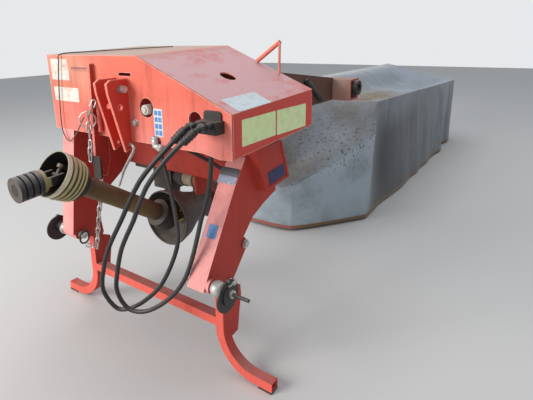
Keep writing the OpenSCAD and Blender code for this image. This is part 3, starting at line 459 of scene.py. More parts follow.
# %% Helpers for cords
def doubled(points):
    """A point halfway between each two, on an even curve through them."""
    made = []
    last = len(points) - 1
    for i in range(2 * last + 1):
        if i % 2 == 0:
            made.append(points[i // 2])
            continue
        nearest = ((i - 3) // 2, (i - 1) // 2, (i + 1) // 2, (i + 3) // 2)
        before, a, b, after = (points[max(0, min(last, k))] for k in nearest)
        made.append((9 * (a + b) - before - after) / 16)
    return made


def route(*places, start=None, end=None):
    """A cord's points from places in the source's millimetres, with straight ends if they are given."""
    points = doubled(doubled([mm(*place) for place in places]))
    return [*([mm(*start)] if start else []), *points, *([mm(*end)] if end else [])]


def hang_cord(name, node, points, radius, material):
    """A cord along its points, in place of a node of the CAD model."""
    data = bpy.data.curves.new(name, "CURVE")
    data.dimensions = "3D"
    data.bevel_depth = radius
    data.bevel_resolution = 4
    data.use_fill_caps = True
    spline = data.splines.new("POLY")
    spline.points.add(len(points) - 1)
    for point, place in zip(spline.points, points):
        point.co = (*place, 1)
    spline.use_smooth = True
    piece = added(name, data, material, "headstock")
    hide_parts(node)


# %% Hoses and rope
HOSE_RADIUS, CROSS_RADIUS, ROPE_RADIUS = 0.008, 0.007, 0.0025
FRONT_MOUTH, FRONT_BEND, FRONT_DROP = (402, -58, 967), (396, -78, 962), (345, -112, 900)
BACK_MOUTH, BACK_BEND, BACK_DROP = (444, -58, 967), (437, -80, 960), (365, -118, 885)
front_route = route(
    FRONT_MOUTH, FRONT_BEND, FRONT_DROP, (260, -148, 796), (176, -165, 653), (95, -165, 532),
    (36, -155, 423), (0, -140, 318), (25, -105, 232), (85, -80, 247), (145, -60, 293), (215, -40, 377),
    (260, -5, 510), (239, 20, 600), (205, 35, 690), (162, 46, 800), (150, 50, 858),
    start=(402, -45, 967), end=(150, 50, 870))
back_route = route(
    BACK_MOUTH, BACK_BEND, BACK_DROP, (288, -148, 781), (230, -160, 662), (158, -160, 546),
    (105, -150, 425), (80, -138, 340), (100, -110, 262), (175, -82, 268), (266, -50, 343), (318, -25, 430),
    (340, 5, 540), (349, 28, 625), (371, 42, 709), (383, 48, 800), (385, 50, 858),
    start=(444, -45, 967), end=(385, 50, 870))
cross_route = route(
    (68, 100, 868), (95, 100, 868), (150, 125, 850), (200, 155, 815), (250, 190, 780), (302, 216, 745),
    (325, 216, 745))
rope_route = route(
    (-80, 380, 1187), (-180, 330, 1183), (-270, 220, 1178), (-335, 100, 1173), (-352, 22, 1168),
    (-358, 14, 1140), (-375, 14, 1050), (-387, 14, 943), (-385, 12, 858), (-338, 8, 817), (-270, 2, 862),
    (-217, -6, 914), (-182, -18, 935))
hang_cord("hose_front", "hose_1", front_route, HOSE_RADIUS, rubber)
hang_cord("hose_back", "hose_2", back_route, HOSE_RADIUS, rubber)
hang_cord("hose_cross", "hose_3", cross_route, CROSS_RADIUS, rubber)
hang_cord("pull_rope", "rope", rope_route, ROPE_RADIUS, twine)

# %% [markdown]
# ## Guards and gearing
# The drive shaft's guard is one moulding by sight: an ochre tube, a black neck and a cone with beige ribs and
# dirty grooves. Their colours change along the shaft. Each rib could be a piece of its own, but a material
# that measures the distance along the axis and reads a ramp of bands keeps the guard whole. The side shaft's
# guard and the front yoke are done the same way; the yoke has dark ears, a brassy jaw and a dark collar, and
# its bore is black.

# %% Bands along an axis
OCHRE, OCHRE_DARK = srgb(124, 98, 46), srgb(86, 66, 38)
BEIGE, BLACK, RIM = srgb(186, 172, 116), srgb(34, 28, 25), srgb(230, 222, 190)


def bands(f, distance, length, stops):
    """A ramp of colours along a line; stops are (distance in metres, colour)."""
    share = f.ramp(distance, 0.0, length)
    made = f.tree.nodes.new("ShaderNodeValToRGB")
    f.tree.links.new(share, made.inputs["Fac"])
    elements = made.color_ramp.elements
    while len(elements) < len(stops):
        elements.new(1.0)
    for element, (place, tint) in zip(elements, stops):
        element.position = place / length
        element.color = tint
    return made.outputs["Color"]


def moulded(name, origin, direction, length, stops, roughness=0.55, dirt=0.55, dark_inside=False,
            bore=None):
    """Bands along an axis, with dirt; bore is (radius, distance), within and beyond which it is black."""
    f = Finish(name, roughness)
    distance = f.along(origin, direction)
    body = bands(f, distance, length, stops)
    body = f.mix(f.times(f.ramp(f.noise(9, 6, 0.7), 0.42, 0.7), dirt), body, GRIME)
    from_axis = f.vector("SUBTRACT", f.place, f.vector("MULTIPLY_ADD", direction, distance, origin))
    if bore:
        radius, start = bore
        within = f.ramp(f.vector("LENGTH", from_axis), radius + 0.0005, radius)
        body = f.mix(f.times(within, f.ramp(distance, start, start + 0.001)), body, BLACK)
    if dark_inside:
        outward = f.vector("DOT_PRODUCT", f.facing, from_axis)
        body = f.mix(f.ramp(outward, 0.004, -0.004), body, srgb(34, 30, 28))
    settled = f.times(f.upward(0.2, 1.0), f.ramp(f.noise(16, 5, 0.65), 0.3, 0.6))
    f.colour(f.mix(f.times(settled, 0.55), body, DUST))
    f.bump(f.noise(140, 4, 0.6), 0.15, 0.0008)
    return f.material


# %% Drive shaft guard
SHAFT_TILT, SHAFT_LENGTH, GUARD_REACH = math.radians(33.3), 0.575, 0.6
shaft_from = mm(0, 219, 485)
shaft_way = Vector((0, -math.cos(SHAFT_TILT), math.sin(SHAFT_TILT)))
cone_stops = [(0.0, BLACK), (0.082, BLACK), (0.088, OCHRE_DARK), (0.25, OCHRE), (0.474, OCHRE_DARK),
              (0.482, BLACK), (0.511, BLACK), (0.513, BEIGE), (0.518, BEIGE), (0.520, BLACK), (0.5265, BLACK),
              (0.528, BEIGE), (0.533, BEIGE), (0.535, BLACK), (0.5425, BLACK), (0.544, BEIGE), (0.550, BEIGE),
              (0.552, BLACK), (0.561, BLACK), (0.563, BEIGE), (0.571, BEIGE), (0.573, BLACK), (0.579, BLACK),
              (0.581, RIM)]
dress(moulded("shaft guard plastic", shaft_from, shaft_way, GUARD_REACH, cone_stops, dark_inside=True),
      "pto_guard")

# %% Side shaft guard, front yoke and bowl guard
side_from, side_to = mm(50, 390, 604), mm(-188, 480, 566)
side_way = (side_to - side_from).normalized()
side_length = (side_to - side_from).length
PAINTED, SLEEVE_PALE, SLEEVE_DARK = srgb(176, 60, 44), srgb(176, 160, 128), srgb(160, 146, 118)
side_stops = [(0.0, PAINTED), (0.012, PAINTED), (0.014, BEIGE), (0.026, BEIGE), (0.028, BLACK),
              (0.042, BLACK), (0.044, SLEEVE_PALE), (0.148, SLEEVE_DARK), (0.15, BLACK), (0.18, BLACK),
              (side_length, BLACK)]
dress(moulded("side shaft plastic", side_from, side_way, side_length, side_stops), "side_shaft")

YOKE_NECK, YOKE_BORE, YOKE_DROOP, YOKE_REACH = 0.064, 0.02, math.radians(4), 0.2
EARS, JAW, COLLAR, SLEEVE = srgb(44, 38, 34), srgb(156, 142, 92), srgb(36, 38, 46), srgb(116, 102, 88)
front_joint = shaft_from + shaft_way * SHAFT_LENGTH
yoke_way = Vector((0, -math.cos(YOKE_DROOP), -math.sin(YOKE_DROOP)))
yoke_stops = [(0.0, EARS), (0.042, EARS), (0.046, JAW), (YOKE_NECK, JAW), (YOKE_NECK + 0.002, COLLAR),
              (YOKE_NECK + 0.0755, COLLAR), (YOKE_NECK + 0.0765, SLEEVE)]
dress(moulded("front yoke finish", front_joint, yoke_way, YOKE_REACH, yoke_stops, roughness=0.45, dirt=0.35,
              bore=(YOKE_BORE, YOKE_NECK + 0.05)), "front_yoke")
dress(dusty("bowl guard plastic", srgb(84, 80, 76), roughness=0.6, dust=0.6, grain=70, depth=0.001),
      "bowl_guard")
print("drive from", [round(v, 3) for v in shaft_from], "to", [round(v, 3) for v in front_joint])

# %% [markdown]
# ## Top of the hood
# The hood's flat top is grey with dust, its slope is faded pink with redder streaks left by rain, its front
# is bleached and painted lighter as if lit, its edges are painted pale, as rubbed paint and as a highlight,
# and its end is in shade. Where each begins is a matter of place, so this enamel reads the position across as
# well.

# %% Hood paint
def hood_paint():
    """The hood's enamel, grey on its top, pink on its slope, and salmon in front, where it is painted lighter
    as if lit.
    """
    f = Finish("hood enamel", roughness=0.5)
    x, _, _ = f.xyz()
    looks_up = f.upward(0.4, 0.8)
    on_top = f.times(f.ramp(x, 0.14, 0.02), looks_up)
    on_slope = f.times(f.ramp(x, 0.05, 0.13), looks_up)
    cloudy = f.noise(5, 6, 0.66, f.stretched(1, 0.45, 1))
    fine = f.noise(60, 6, 0.7)
    body = f.mix(f.times(f.ramp(cloudy, 0.35, 0.7), 0.4), srgb(222, 74, 62), srgb(188, 62, 52))
    # Faces that look forward are bleached and painted lighter, as if lit from in front.
    bleached_and_lit_share = f.times(f.toward(FORWARD, 0.35, 0.8), f.ramp(f.noise(5, 5, 0.6), 0.12, 0.5))
    body = f.mix(bleached_and_lit_share, body, srgb(240, 118, 96))
    pink = f.mix(f.ramp(cloudy, 0.50, 0.62), srgb(206, 162, 166), srgb(204, 96, 84))
    pink = f.mix(f.times(f.ramp(fine, 0.45, 0.8), 0.35), pink, srgb(226, 204, 206))
    body = f.mix(f.times(on_slope, 0.92), body, pink)
    grey = f.mix(f.ramp(f.noise(8, 6, 0.7), 0.52, 0.72), srgb(178, 164, 152), srgb(190, 116, 98))
    body = f.mix(f.times(on_top, 0.88), body, grey)
    spots = f.times(f.ramp(f.noise(80, 3, 0.55), 0.68, 0.73), f.ramp(f.noise(6, 3, 0.6), 0.48, 0.62))
    body = f.mix(f.times(spots, 0.7), body, RUST)
    # Edges painted pale, as rubbed paint and as a highlight.
    body = f.mix(f.times(f.edge_highlight_and_wear(0.005), f.ramp(fine, 0.3, 0.5)), body, EDGE)
    f.colour(body)
    f.rough(f.ramp(fine, -1.0, 1.6))
    f.bump(fine, 0.12, 0.0012)
    return f.material


dress(hood_paint(), "hood")

# %% [markdown]
# ## Cloth cover
# The cover is one sheet of coated cloth over two rails. It is taut along the rails, hangs straight down its
# long sides, sags into a trough between the rails, where leaves and mud collect, and slopes down over the
# inner gearbox in front. A cloth simulation could drape it, but the folds would then fall where they like. So
# it starts as a block with its bottom cut away, sliced into a fine net by planes. Each point of the net takes
# its place from the cover's edges, which are given at a few stations along its length, and after that come
# the trough, the pleats, the soft corner in front and the folds of the two long sides.

# %% Edges of the cover, by station
# y, far hem x, far edge x and height, near edge x and height, near hem x
COVER_STATIONS = [
    (1.250, -0.300, -0.300, 0.300, 0.010, 0.300, 0.012),
    (1.717, -0.478, -0.450, 0.864, 0.376, 0.600, 0.336),
    (1.790, -0.478, -0.452, 0.868, 0.346, 0.700, 0.336),
    (1.842, -0.478, -0.452, 0.868, 0.324, 0.788, 0.336),
    (2.100, -0.478, -0.452, 0.868, 0.323, 0.780, 0.342),
    (2.900, -0.478, -0.452, 0.868, 0.323, 0.753, 0.348),
    (3.860, -0.478, -0.452, 0.868, 0.323, 0.719, 0.344),
    (4.300, -0.478, -0.452, 0.868, 0.323, 0.706, 0.342),
    (4.538, -0.478, -0.452, 0.870, 0.322, 0.697, 0.326),
]
FRONT, SLOPE_END, BACK = COVER_STATIONS[0][0], 1.75, COVER_STATIONS[-1][0]
HEM_HEIGHT = 0.015


def smooth(value, low, high):
    """0 below low, 1 above high, with an even turn between them."""
    t = max(0.0, min(1.0, (value - low) / (high - low)))
    return t * t * (3 - 2 * t)


def edges_at(y):
    """The cover's edges at one place along it, between its stations."""
    for before, after in zip(COVER_STATIONS, COVER_STATIONS[1:]):
        if y <= after[0]:
            t = (y - before[0]) / (after[0] - before[0])
            return [a + (b - a) * t for a, b in zip(before, after)]
    return COVER_STATIONS[-1]


print("near edge at the middle", [round(v, 3) for v in edges_at(2.9)])


# %% Trough, pleats, folds and corner
TROUGH_DEPTH, SHELF_DEPTH, PLEAT_HEIGHT, WAVE_HEIGHT = 0.118, 0.027, 0.012, 0.012
# How far the soft corner reaches, and how deep it goes.
ROUND = 0.08
FILLET = 0.28 * ROUND


def trough(u, y):
    """How deep the cloth sags between the rails: u runs from the far rail to the near one."""
    across = smooth(u, 0.16, 0.42) * (1 - smooth(u, 0.74, 0.985))
    along = smooth(y, 1.82, 2.35) * (1 - smooth(y, 4.0, 4.45))
    shelf = smooth(y, 1.60, 1.80) * (1 - smooth(y, 1.80, 2.35))
    return (TROUGH_DEPTH * along + SHELF_DEPTH * shelf) * across


def top_rise(u, y, ripple):
    """How far the top stands off the line between the rails, by pleats, small waves and the trough."""
    pleats = math.sin(y * 88 + 2.5 * ripple) + 0.5 * math.sin(y * 53 + u * 9)
    far_wall = smooth(u, 0.13, 0.24) * (1 - smooth(u, 0.36, 0.58)) * smooth(y, 1.9, 2.4)
    waves = noise.noise(Vector((u * 7, y * 6, 4.0)))
    off_rails = smooth(u, 0.0, 0.12) * smooth(1 - u, 0.0, 0.1)
    risen = PLEAT_HEIGHT * pleats * far_wall + WAVE_HEIGHT * waves * off_rails
    return risen - trough(u, y) * (1 + 0.25 * ripple)


def hump(value, middle, width):
    """1 at the middle and next to nothing two widths away."""
    return math.exp(-(((value - middle) / width) ** 2))


def near_folds(y, w, ripple):
    """How far the near side stands out behind the slope: wavy folds, one large fold and two hollows."""
    hang = 1 - w
    loose = smooth(hang, 0.0, 0.12)
    folds = 0.5 + 0.5 * math.sin(y * 13.5 + 1.2 * math.sin(y * 4.1) + 1.6 * w)
    fine_folds = 0.5 + 0.5 * math.sin(y * 41 + 3 * w + 2 * ripple)
    out = (0.004 + 0.009 * hang) * folds * loose * smooth(y, SLOPE_END, 2.2)
    out += 0.006 * fine_folds * loose * (1 - 0.8 * hang) * smooth(y, 1.9, 2.2)
    out -= 0.040 * hump(y, 2.02, 0.15) * smooth(hang, 0.15, 0.5) * (1 - 0.6 * smooth(hang, 0.7, 1.0))
    out += 0.026 * hump(y, 3.86, 0.10) * loose * (1 - 0.3 * hang)
    out -= 0.035 * hump(y, 4.12, 0.14) * smooth(hang, 0.25, 0.6)
    return out


def closeness(a, b, reach):
    """1 on an edge and 0 beyond its reach, from the distances to the two faces that meet there."""
    return max(0.0, 1 - math.hypot(a, b) / reach) ** 2


# %% A net point's place
# From this share on, a net point counts as on the top or on the near side.
ALMOST = 0.999


def cover_point(u, y, w):
    """A net point's place: u across from the far side, y along, w from the hem up."""
    _, far_hem, far_x, far_z, near_x, near_z, near_hem = edges_at(y)
    low_x = far_hem + (near_hem - far_hem) * u
    high_x = far_x + (near_x - far_x) * u
    high_z = far_z + (near_z - far_z) * u
    x = low_x + (high_x - low_x) * w
    z = HEM_HEIGHT + (high_z - HEM_HEIGHT) * w
    ripple = noise.noise(Vector((u * 3.0, y * 2.2, w * 2.0)))
    if w > ALMOST and 0.0 < u < 1.0:
        z += top_rise(u, y, ripple)

    # The soft corner: along the near rail, down the corner and over the front edge.
    hang = 1 - w
    from_side, from_top, from_front = (1 - u) * (near_x - far_x), hang * (high_z - HEM_HEIGHT), y - FRONT
    front = (0.4 + 0.6 * smooth(y, 1.30, 1.50)) * (1 - smooth(y, 1.56, 1.72))
    along_edge = front * closeness(from_side, from_top, ROUND)
    at_corner = closeness(from_side, from_front, 2.2 * ROUND)
    across_front = closeness(from_front, from_top, ROUND)
    x -= FILLET * (along_edge + 0.25 * at_corner)
    y += FILLET * (1.2 * at_corner + 0.4 * across_front)
    z -= FILLET * (along_edge + 0.4 * across_front)

    # The folds of the near side, the bulge beside the slope, and the waves of the far side.
    if u > ALMOST and y > SLOPE_END:
        x += near_folds(y, w, ripple)
    elif u > ALMOST:
        bulge = smooth(y, FRONT, 1.45) * (1 - smooth(y, 1.55, 1.74))
        x += 0.016 * bulge * math.sin(math.pi * w) + 0.008 * ripple * bulge
    if u < 1 - ALMOST:
        x += 0.014 * math.sin(y * 12.2 + 2 * w) * smooth(y, SLOPE_END, 2.2) * smooth(hang, 0.3, 0.8)
    return at(x, y, z)


# %% [markdown]
# ## From a block to the cover
# The planes lie close together where the cloth turns over a rail or an edge, and wide apart where it hangs
# flat. The hanger comes up through an opening in the top, near the far front corner. Two rounds of smoothing
# soften the net, and the rows on the rails and on open edges are left out of them, so that they stay crisp.

# %% Slice the block into a net
def sliced(mesh, axis, places):
    """Cuts the whole mesh with planes across one axis."""
    normal = Vector([1 if k == axis else 0 for k in range(3)])
    for place in places:
        bmesh.ops.bisect_plane(mesh, geom=[*mesh.verts, *mesh.edges, *mesh.faces],
                               plane_co=normal * place, plane_no=normal)


OPENING_X, OPENING_Y = (-0.300, -0.124), (1.288, 1.42)
across_cuts = [0.012, 0.04, *[0.08 + 0.035 * k for k in range(25)], 0.96, 0.988]
upward_cuts = [0.02, 0.05, *[0.12 + 0.08 * k for k in range(11)], 0.965, 0.99]
along_cuts = [FRONT + 0.006, FRONT + 0.04, *[FRONT + 0.04 + 0.0425 * k for k in range(1, 10)],
              1.70, 1.717, 1.735, 1.78, 1.815, *[1.85 + 0.036 * k for k in range(73)], 4.50, 4.525]
cover = bmesh.new()
bmesh.ops.create_cube(cover, size=1, matrix=Matrix.Translation((0.5, (FRONT + BACK) / 2, 0.5))
                      @ Matrix.Diagonal((1, BACK - FRONT, 1, 1)))
bottom = [face for face in cover.faces if face.normal.z < -0.5]
bmesh.ops.delete(cover, geom=bottom, context="FACES")
for axis, places in ((0, across_cuts), (2, upward_cuts), (1, along_cuts)):
    sliced(cover, axis, places)
opening = []
for face in cover.faces:
    u, y, w = face.calc_center_median()
    in_rows = w > ALMOST and OPENING_Y[0] < y < OPENING_Y[1]
    if in_rows and OPENING_X[0] < cover_point(u, y, w).x < OPENING_X[1]:
        opening.append(face)
bmesh.ops.delete(cover, geom=opening, context="FACES")
print(len(cover.faces), "faces in the net")

# %% Lay the net over the rails
rail_rows = {vertex for vertex in cover.verts if vertex.co.z > 0.98 and not 0.02 < vertex.co.x < 0.98}
for vertex in cover.verts:
    vertex.co = cover_point(*vertex.co)
inner_rows = [vertex for vertex in cover.verts if not vertex.is_boundary and vertex not in rail_rows]
for _ in range(2):
    bmesh.ops.smooth_vert(cover, verts=inner_rows, factor=0.4,
                          use_axis_x=True, use_axis_y=True, use_axis_z=True)
bmesh.ops.recalc_face_normals(cover, faces=cover.faces)
for face in cover.faces:
    face.smooth = True
cloth_area = sum(face.calc_area() for face in cover.faces)
print(round(cloth_area, 2), "square metres of cloth")

# %% [markdown]
# ## Coated cloth
# The cloth is grey, coated and matt, bluish where it is clean. Rain has left long paler and darker streaks
# down the sides, mud and dark spots lie on the front slope, and the trough holds a bed of brown litter. Light
# and shade are painted on too: the steep front, a patch of the front slope and the far rim are painted pale
# as if lit, the far wall's pleats have painted highlights, the near side has painted shade below the trough,
# and one fold far back has a painted highlight where it catches the light. A brown and rust-red tape closes
# the hem. All of it depends on place, so the material reads Object coordinates. A painted picture on the
# sheet could do the same, but would have to be drawn by hand.

# %% Cloth finish
def cloth_look():
    """The cloth's colours, one over the other, each where it lies on the cover."""
    f = Finish("coated grey cloth", roughness=0.62)
    x, y, z = f.xyz()

    # Clouds of grey, and streaks down the sides.
    body = f.mix(f.ramp(f.noise(2.6, 6, 0.68), 0.35, 0.68), srgb(122, 128, 136), srgb(92, 94, 98))
    runs = f.noise(1, 5, 0.65, f.stretched(16, 16, 1.6))
    body = f.mix(f.times(f.ramp(runs, 0.5, 0.72), 0.45), body, srgb(70, 70, 70))
    body = f.mix(f.times(f.ramp(runs, 0.45, 0.28), 0.4), body, srgb(150, 158, 166))

    # Painted shade low on the near side, a painted highlight on the fold that catches light, and the steep
    # front painted pale as if lit.
    shade = f.times(f.ramp(y, 1.80, 1.92), f.ramp(y, 3.6, 2.4))
    body = f.mix(f.times(shade, f.times(f.ramp(z, 0.30, 0.12), 0.8)), body, srgb(54, 57, 60))
    lit_fold = f.times(f.ramp(y, 3.98, 4.08), f.ramp(y, 4.26, 4.18))
    body = f.mix(f.times(lit_fold, f.ramp(x, 0.26, 0.31), 0.6), body, srgb(146, 156, 164))
    # The steep front is painted pale, as if lit.
    painted_light_front = f.times(f.ramp(y, 1.82, 1.70), f.upward(0.7, 0.3))
    painted_light_front_cloudy = f.times(painted_light_front, 0.85, f.ramp(f.noise(4, 6, 0.65), 0.1, 0.5))
    body = f.mix(painted_light_front_cloudy, body, srgb(176, 190, 200))

    # What looks up: the front slope, partly painted lighter as if lit, silt, the far wall's pleats with
    # painted highlights, the clean back, and the far rim, painted pale as if sunlit.
    looks_up = f.upward(0.3, 0.85)
    # Part of the front slope is painted lighter, as if lit.
    painted_light_slope = f.times(looks_up, f.ramp(y, 1.78, 1.70), f.ramp(f.noise(3.4, 5, 0.6), 0.34, 0.56))
    body = f.mix(f.times(painted_light_slope, f.ramp(x, -0.16, 0.02), 0.6), body, srgb(154, 166, 178))
    silt = f.times(looks_up, f.ramp(f.noise(5, 7, 0.72), 0.46, 0.62))
    body = f.mix(f.times(silt, 0.55), body, srgb(104, 96, 86))
    # Painted highlights along the far wall's pleats.
    far_wall = f.times(f.ramp(x, -0.02, -0.12), f.ramp(y, 2.0, 2.3), looks_up)
    pleats = f.ramp(f.noise(1, 4, 0.6, f.stretched(3, 17, 3)), 0.45, 0.68)
    body = f.mix(f.times(far_wall, f.times(pleats, 0.5)), body, srgb(160, 168, 176))
    clean = f.times(looks_up, f.ramp(y, 2.6, 3.2), f.ramp(f.noise(3, 5, 0.6), 0.2, 0.5))
    body = f.mix(f.times(clean, 0.6), body, srgb(156, 168, 182))
    # The far rim is painted pale, as if sunlit.
    painted_light_far_rim = f.times(f.ramp(x, -0.34, -0.42), looks_up, f.ramp(f.noise(6, 5, 0.6), 0.2, 0.5))
    body = f.mix(f.times(painted_light_far_rim, 0.85), body, srgb(186, 190, 188))

    # The bed of litter in the trough.
    trough_y = f.times(f.ramp(y, 1.9, 2.2), f.ramp(y, 3.5, 2.9))
    trough_x = f.times(f.ramp(x, -0.2, -0.02), f.ramp(x, 0.27, 0.16))
    bed = f.times(trough_x, trough_y, f.ramp(f.noise(9, 6, 0.75), 0.30, 0.44))
    litter = f.mix(f.ramp(f.noise(75, 5, 0.8), 0.45, 0.55), srgb(52, 40, 32), srgb(156, 132, 104))
    body = f.mix(f.times(bed, looks_up), body, litter)

    # Dark spots and mud in front, dirt low down, and the hem's tape.
    spotted = f.times(f.ramp(y, 1.85, 1.7), f.ramp(z, -0.08, 0.04))
    flecks = f.times(spotted, f.ramp(f.noise(58, 2, 0.5), 0.60, 0.64))
    body = f.mix(f.times(flecks, 0.75), body, srgb(56, 50, 46))
    mud = f.times(f.ramp(y, 1.62, 1.36), f.ramp(z, -0.15, -0.09), f.ramp(f.noise(9, 6, 0.7), 0.3, 0.55))
    body = f.mix(f.times(mud, looks_up, 0.85), body, srgb(102, 92, 76))
    low = f.times(f.ramp(z, -0.2, -0.38), f.ramp(f.noise(7, 6, 0.7), 0.4, 0.66))
    body = f.mix(f.times(low, 0.5), body, srgb(96, 88, 78))
    tape = f.mix(f.ramp(x, 0.06, -0.02), srgb(122, 92, 62), srgb(158, 96, 84))
    body = f.mix(f.ramp(z, -0.366, -0.370), body, tape)
    f.colour(body)
    f.bump(f.mix(0.35, f.noise(520, 2, 0.5), f.noise(38, 5, 0.6)), 0.35, 0.0016)
    f.shader.inputs["Sheen Weight"].default_value = 0.15
    return f.material


# %% The cover as a piece
cover_mesh = bpy.data.meshes.new("cloth_cover")
cover.to_mesh(cover_mesh)
cover.free()
cloth_cover = added("cloth_cover", cover_mesh, cloth_look(), "cutter_unit")
rounder = cloth_cover.modifiers.new("round", "SUBSURF")
rounder.levels = rounder.render_levels = 1
thickness = cloth_cover.modifiers.new("thickness", "SOLIDIFY")
thickness.thickness = 0.003
thickness.offset = -1
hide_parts("canvas")

# %% [markdown]
# ## Small fittings
# Bolt heads, ferrules, caps and plates are small and many. Each kind is one mesh, put together from bars: a
# cone with two equal radii is a bar, one with six sides is a hexagon, and a bevel on its rims catches the
# light as a turned or forged edge does.

# %% Helpers for fittings
# Edges that turn by more than this stay sharp.
SHARP = math.radians(35)


def finished(name, mesh, material):
    """A mesh made into a piece of the headstock, smooth apart from its sharp edges."""
    bmesh.ops.recalc_face_normals(mesh, faces=mesh.faces)
    for face in mesh.faces:
        face.smooth = True
    for edge in mesh.edges:
        edge.smooth = edge.calc_face_angle(0) < SHARP
    data = bpy.data.meshes.new(name)
    mesh.to_mesh(data)
    mesh.free()
    added(name, data, material, "headstock")
    print(name, "has", len(data.polygons), "faces")


def bar(mesh, start, end, radius, end_radius=None, sides=24, rim=0.0008):
    """A round or hexagonal bar between two points, with bevelled rims."""
    way = end - start
    place = Matrix.Translation((start + end) / 2) @ way.to_track_quat("Z", "Y").to_matrix().to_4x4()
    made = bmesh.ops.create_cone(mesh, cap_ends=True, segments=sides, radius1=radius, depth=way.length,
                                 radius2=radius if end_radius is None else end_radius, matrix=place)
    rims = {edge for vertex in made["verts"] for edge in vertex.link_edges
            if any(len(face.verts) > 4 for face in edge.link_faces)}
    bmesh.ops.bevel(mesh, geom=list(rims), offset=rim, offset_type="OFFSET", segments=2, profile=0.5,
                    affect="EDGES", material=-1)


def bolt(mesh, place, way, across, height=0.009):
    """A hexagon head on its washer; across is its width over two flats."""
    washer, washer_share, corner_share = 0.0025, 0.72, 0.577
    seat = place + way * washer
    bar(mesh, place, seat, across * washer_share, rim=0.0005)
    bar(mesh, seat, seat + way * height, across * corner_share, sides=6, rim=0.0011)


def ring(mesh, centre, way, radius, wire, around=40):
    """A ring of round wire, spun from a small circle."""
    aim = Matrix.Translation(centre) @ way.to_track_quat("Z", "Y").to_matrix().to_4x4()
    aside = Matrix.Translation((radius, 0, 0)) @ Matrix.Rotation(math.pi / 2, 4, "X")
    section = bmesh.ops.create_circle(mesh, segments=10, radius=wire, matrix=aim @ aside)
    edges = list({edge for vertex in section["verts"] for edge in vertex.link_edges})
    bmesh.ops.spin(mesh, geom=edges, cent=centre, axis=way, angle=2 * math.pi, steps=around, use_merge=True)


def plate(mesh, corner, along, up, thickness=0.0012, corner_radius=0.004):
    """A thin plate with round corners, from one corner and its two sides."""
    out = along.cross(up).normalized()
    shape = Matrix((along, up, out * thickness)).transposed().to_4x4()
    shape.translation = corner + (along + up + out * thickness) / 2
    made = bmesh.ops.create_cube(mesh, size=1, matrix=shape)
    uprights = [edge for edge in {edge for vertex in made["verts"] for edge in vertex.link_edges}
                if abs((edge.verts[0].co - edge.verts[1].co).normalized().dot(out)) > 0.9]
    bmesh.ops.bevel(mesh, geom=uprights, offset=corner_radius, offset_type="OFFSET", segments=4, profile=0.5,
                    affect="EDGES", material=-1)


# %% [markdown]
# ## Bolts, ferrules and caps
# The stand's bracket beside the near leg has two bolts, one at its hinge and one at its lock. The panel has
# a bolt too, a pale cap on the pin behind its round hole, and an elbow fitting at its lower edge. Each hose
# leaves its block, which sits on a dark plate, through a hexagon and a ribbed ferrule. A strip of rubber
# hangs below the panel, and two black ties are drawn round the back hose.

# %% Bolts, ferrules and caps
LEFT, FRONTWARD = Vector((1, 0, 0)), Vector((0, -1, 0))
bolts = bmesh.new()
bolt(bolts, mm(62, 25, 931), FRONTWARD, across=0.020)
for place in (mm(404, 104, 366), mm(404, 205, 478)):
    bolt(bolts, place, LEFT, across=0.024, height=0.008)
bar(bolts, mm(480, -6, 434), mm(480, 24, 433), 0.0075, rim=0.002)
bar(bolts, mm(480, 18, 433), mm(480, 36, 432), 0.0105, sides=6, rim=0.0015)
finished("bolt_heads", bolts, zinc)

ferrules = bmesh.new()
plate(ferrules, mm(386, 24.5, 940), LEFT * 0.068, upward * 0.064, thickness=0.006, corner_radius=0.012)
for hose_end in ((FRONT_MOUTH, FRONT_BEND, FRONT_DROP), (BACK_MOUTH, BACK_BEND, BACK_DROP)):
    mouth, bend, drop = (mm(*place) for place in hose_end)
    way = (drop - bend).normalized()
    bar(ferrules, mouth - FRONTWARD * 0.004, mouth + FRONTWARD * 0.012, 0.0145, sides=6, rim=0.0015)
    bar(ferrules, bend, bend + way * 0.052, 0.0125, 0.0115, rim=0.0015)
    for rib in range(4):
        start = bend + way * (0.010 + 0.011 * rib)
        bar(ferrules, start, start + way * 0.006, 0.0138, rim=0.0018)
finished("hose_ferrules", ferrules, black_steel)

cap = bmesh.new()
bar(cap, mm(128, 60, 984), mm(128, 10, 984), 0.018, sides=36, rim=0.004)
bar(cap, mm(128, 12, 984), mm(128, 5, 984), 0.011, sides=36, rim=0.002)
ivory = dusty("ivory cap", srgb(226, 222, 206), roughness=0.5, dust=0.3, grain=80, depth=0.0006)
finished("pin_cap", cap, ivory)

elbow = bmesh.new()
bar(elbow, mm(162, 22, 884), mm(162, 6, 884), 0.012, sides=6, rim=0.0015)
bar(elbow, mm(164, 14, 884), mm(168, 12, 860), 0.011, rim=0.003)
bar(elbow, mm(162, 12, 863), mm(196, 10, 857), 0.010, rim=0.003)
bar(elbow, mm(186, 10, 859), mm(200, 10, 856), 0.0135, sides=6, rim=0.0015)
finished("elbow_fitting", elbow, zinc)

strip = bmesh.new()
plate(strip, mm(-149.5, -16, 700), LEFT * 0.044, upward * 0.088, thickness=0.006, corner_radius=0.003)
finished("rubber_strip", strip, pad_rubber)

hose_way = Vector((0.13, 0.07, 1)).normalized()
ties = bmesh.new()
for place in (mm(374, 43.5, 722), mm(375, 43.8, 731)):
    ring(ties, place, hose_way, radius=0.0092, wire=0.0022)
finished("hose_ties", ties, black_steel)

# %% [markdown]
# ## Bare plates
# Thin plates sit all over the headstock: a pale one on the slope, two yellow-green ones on the hood's end, a
# navy one on the beam's end, and smaller ones on the near leg and the panel. They are bare, so worn patches,
# scratches and dirt are their whole finish. Flat pictures on the metal would be less work, but a thin plate
# with round corners has an edge that catches the light.

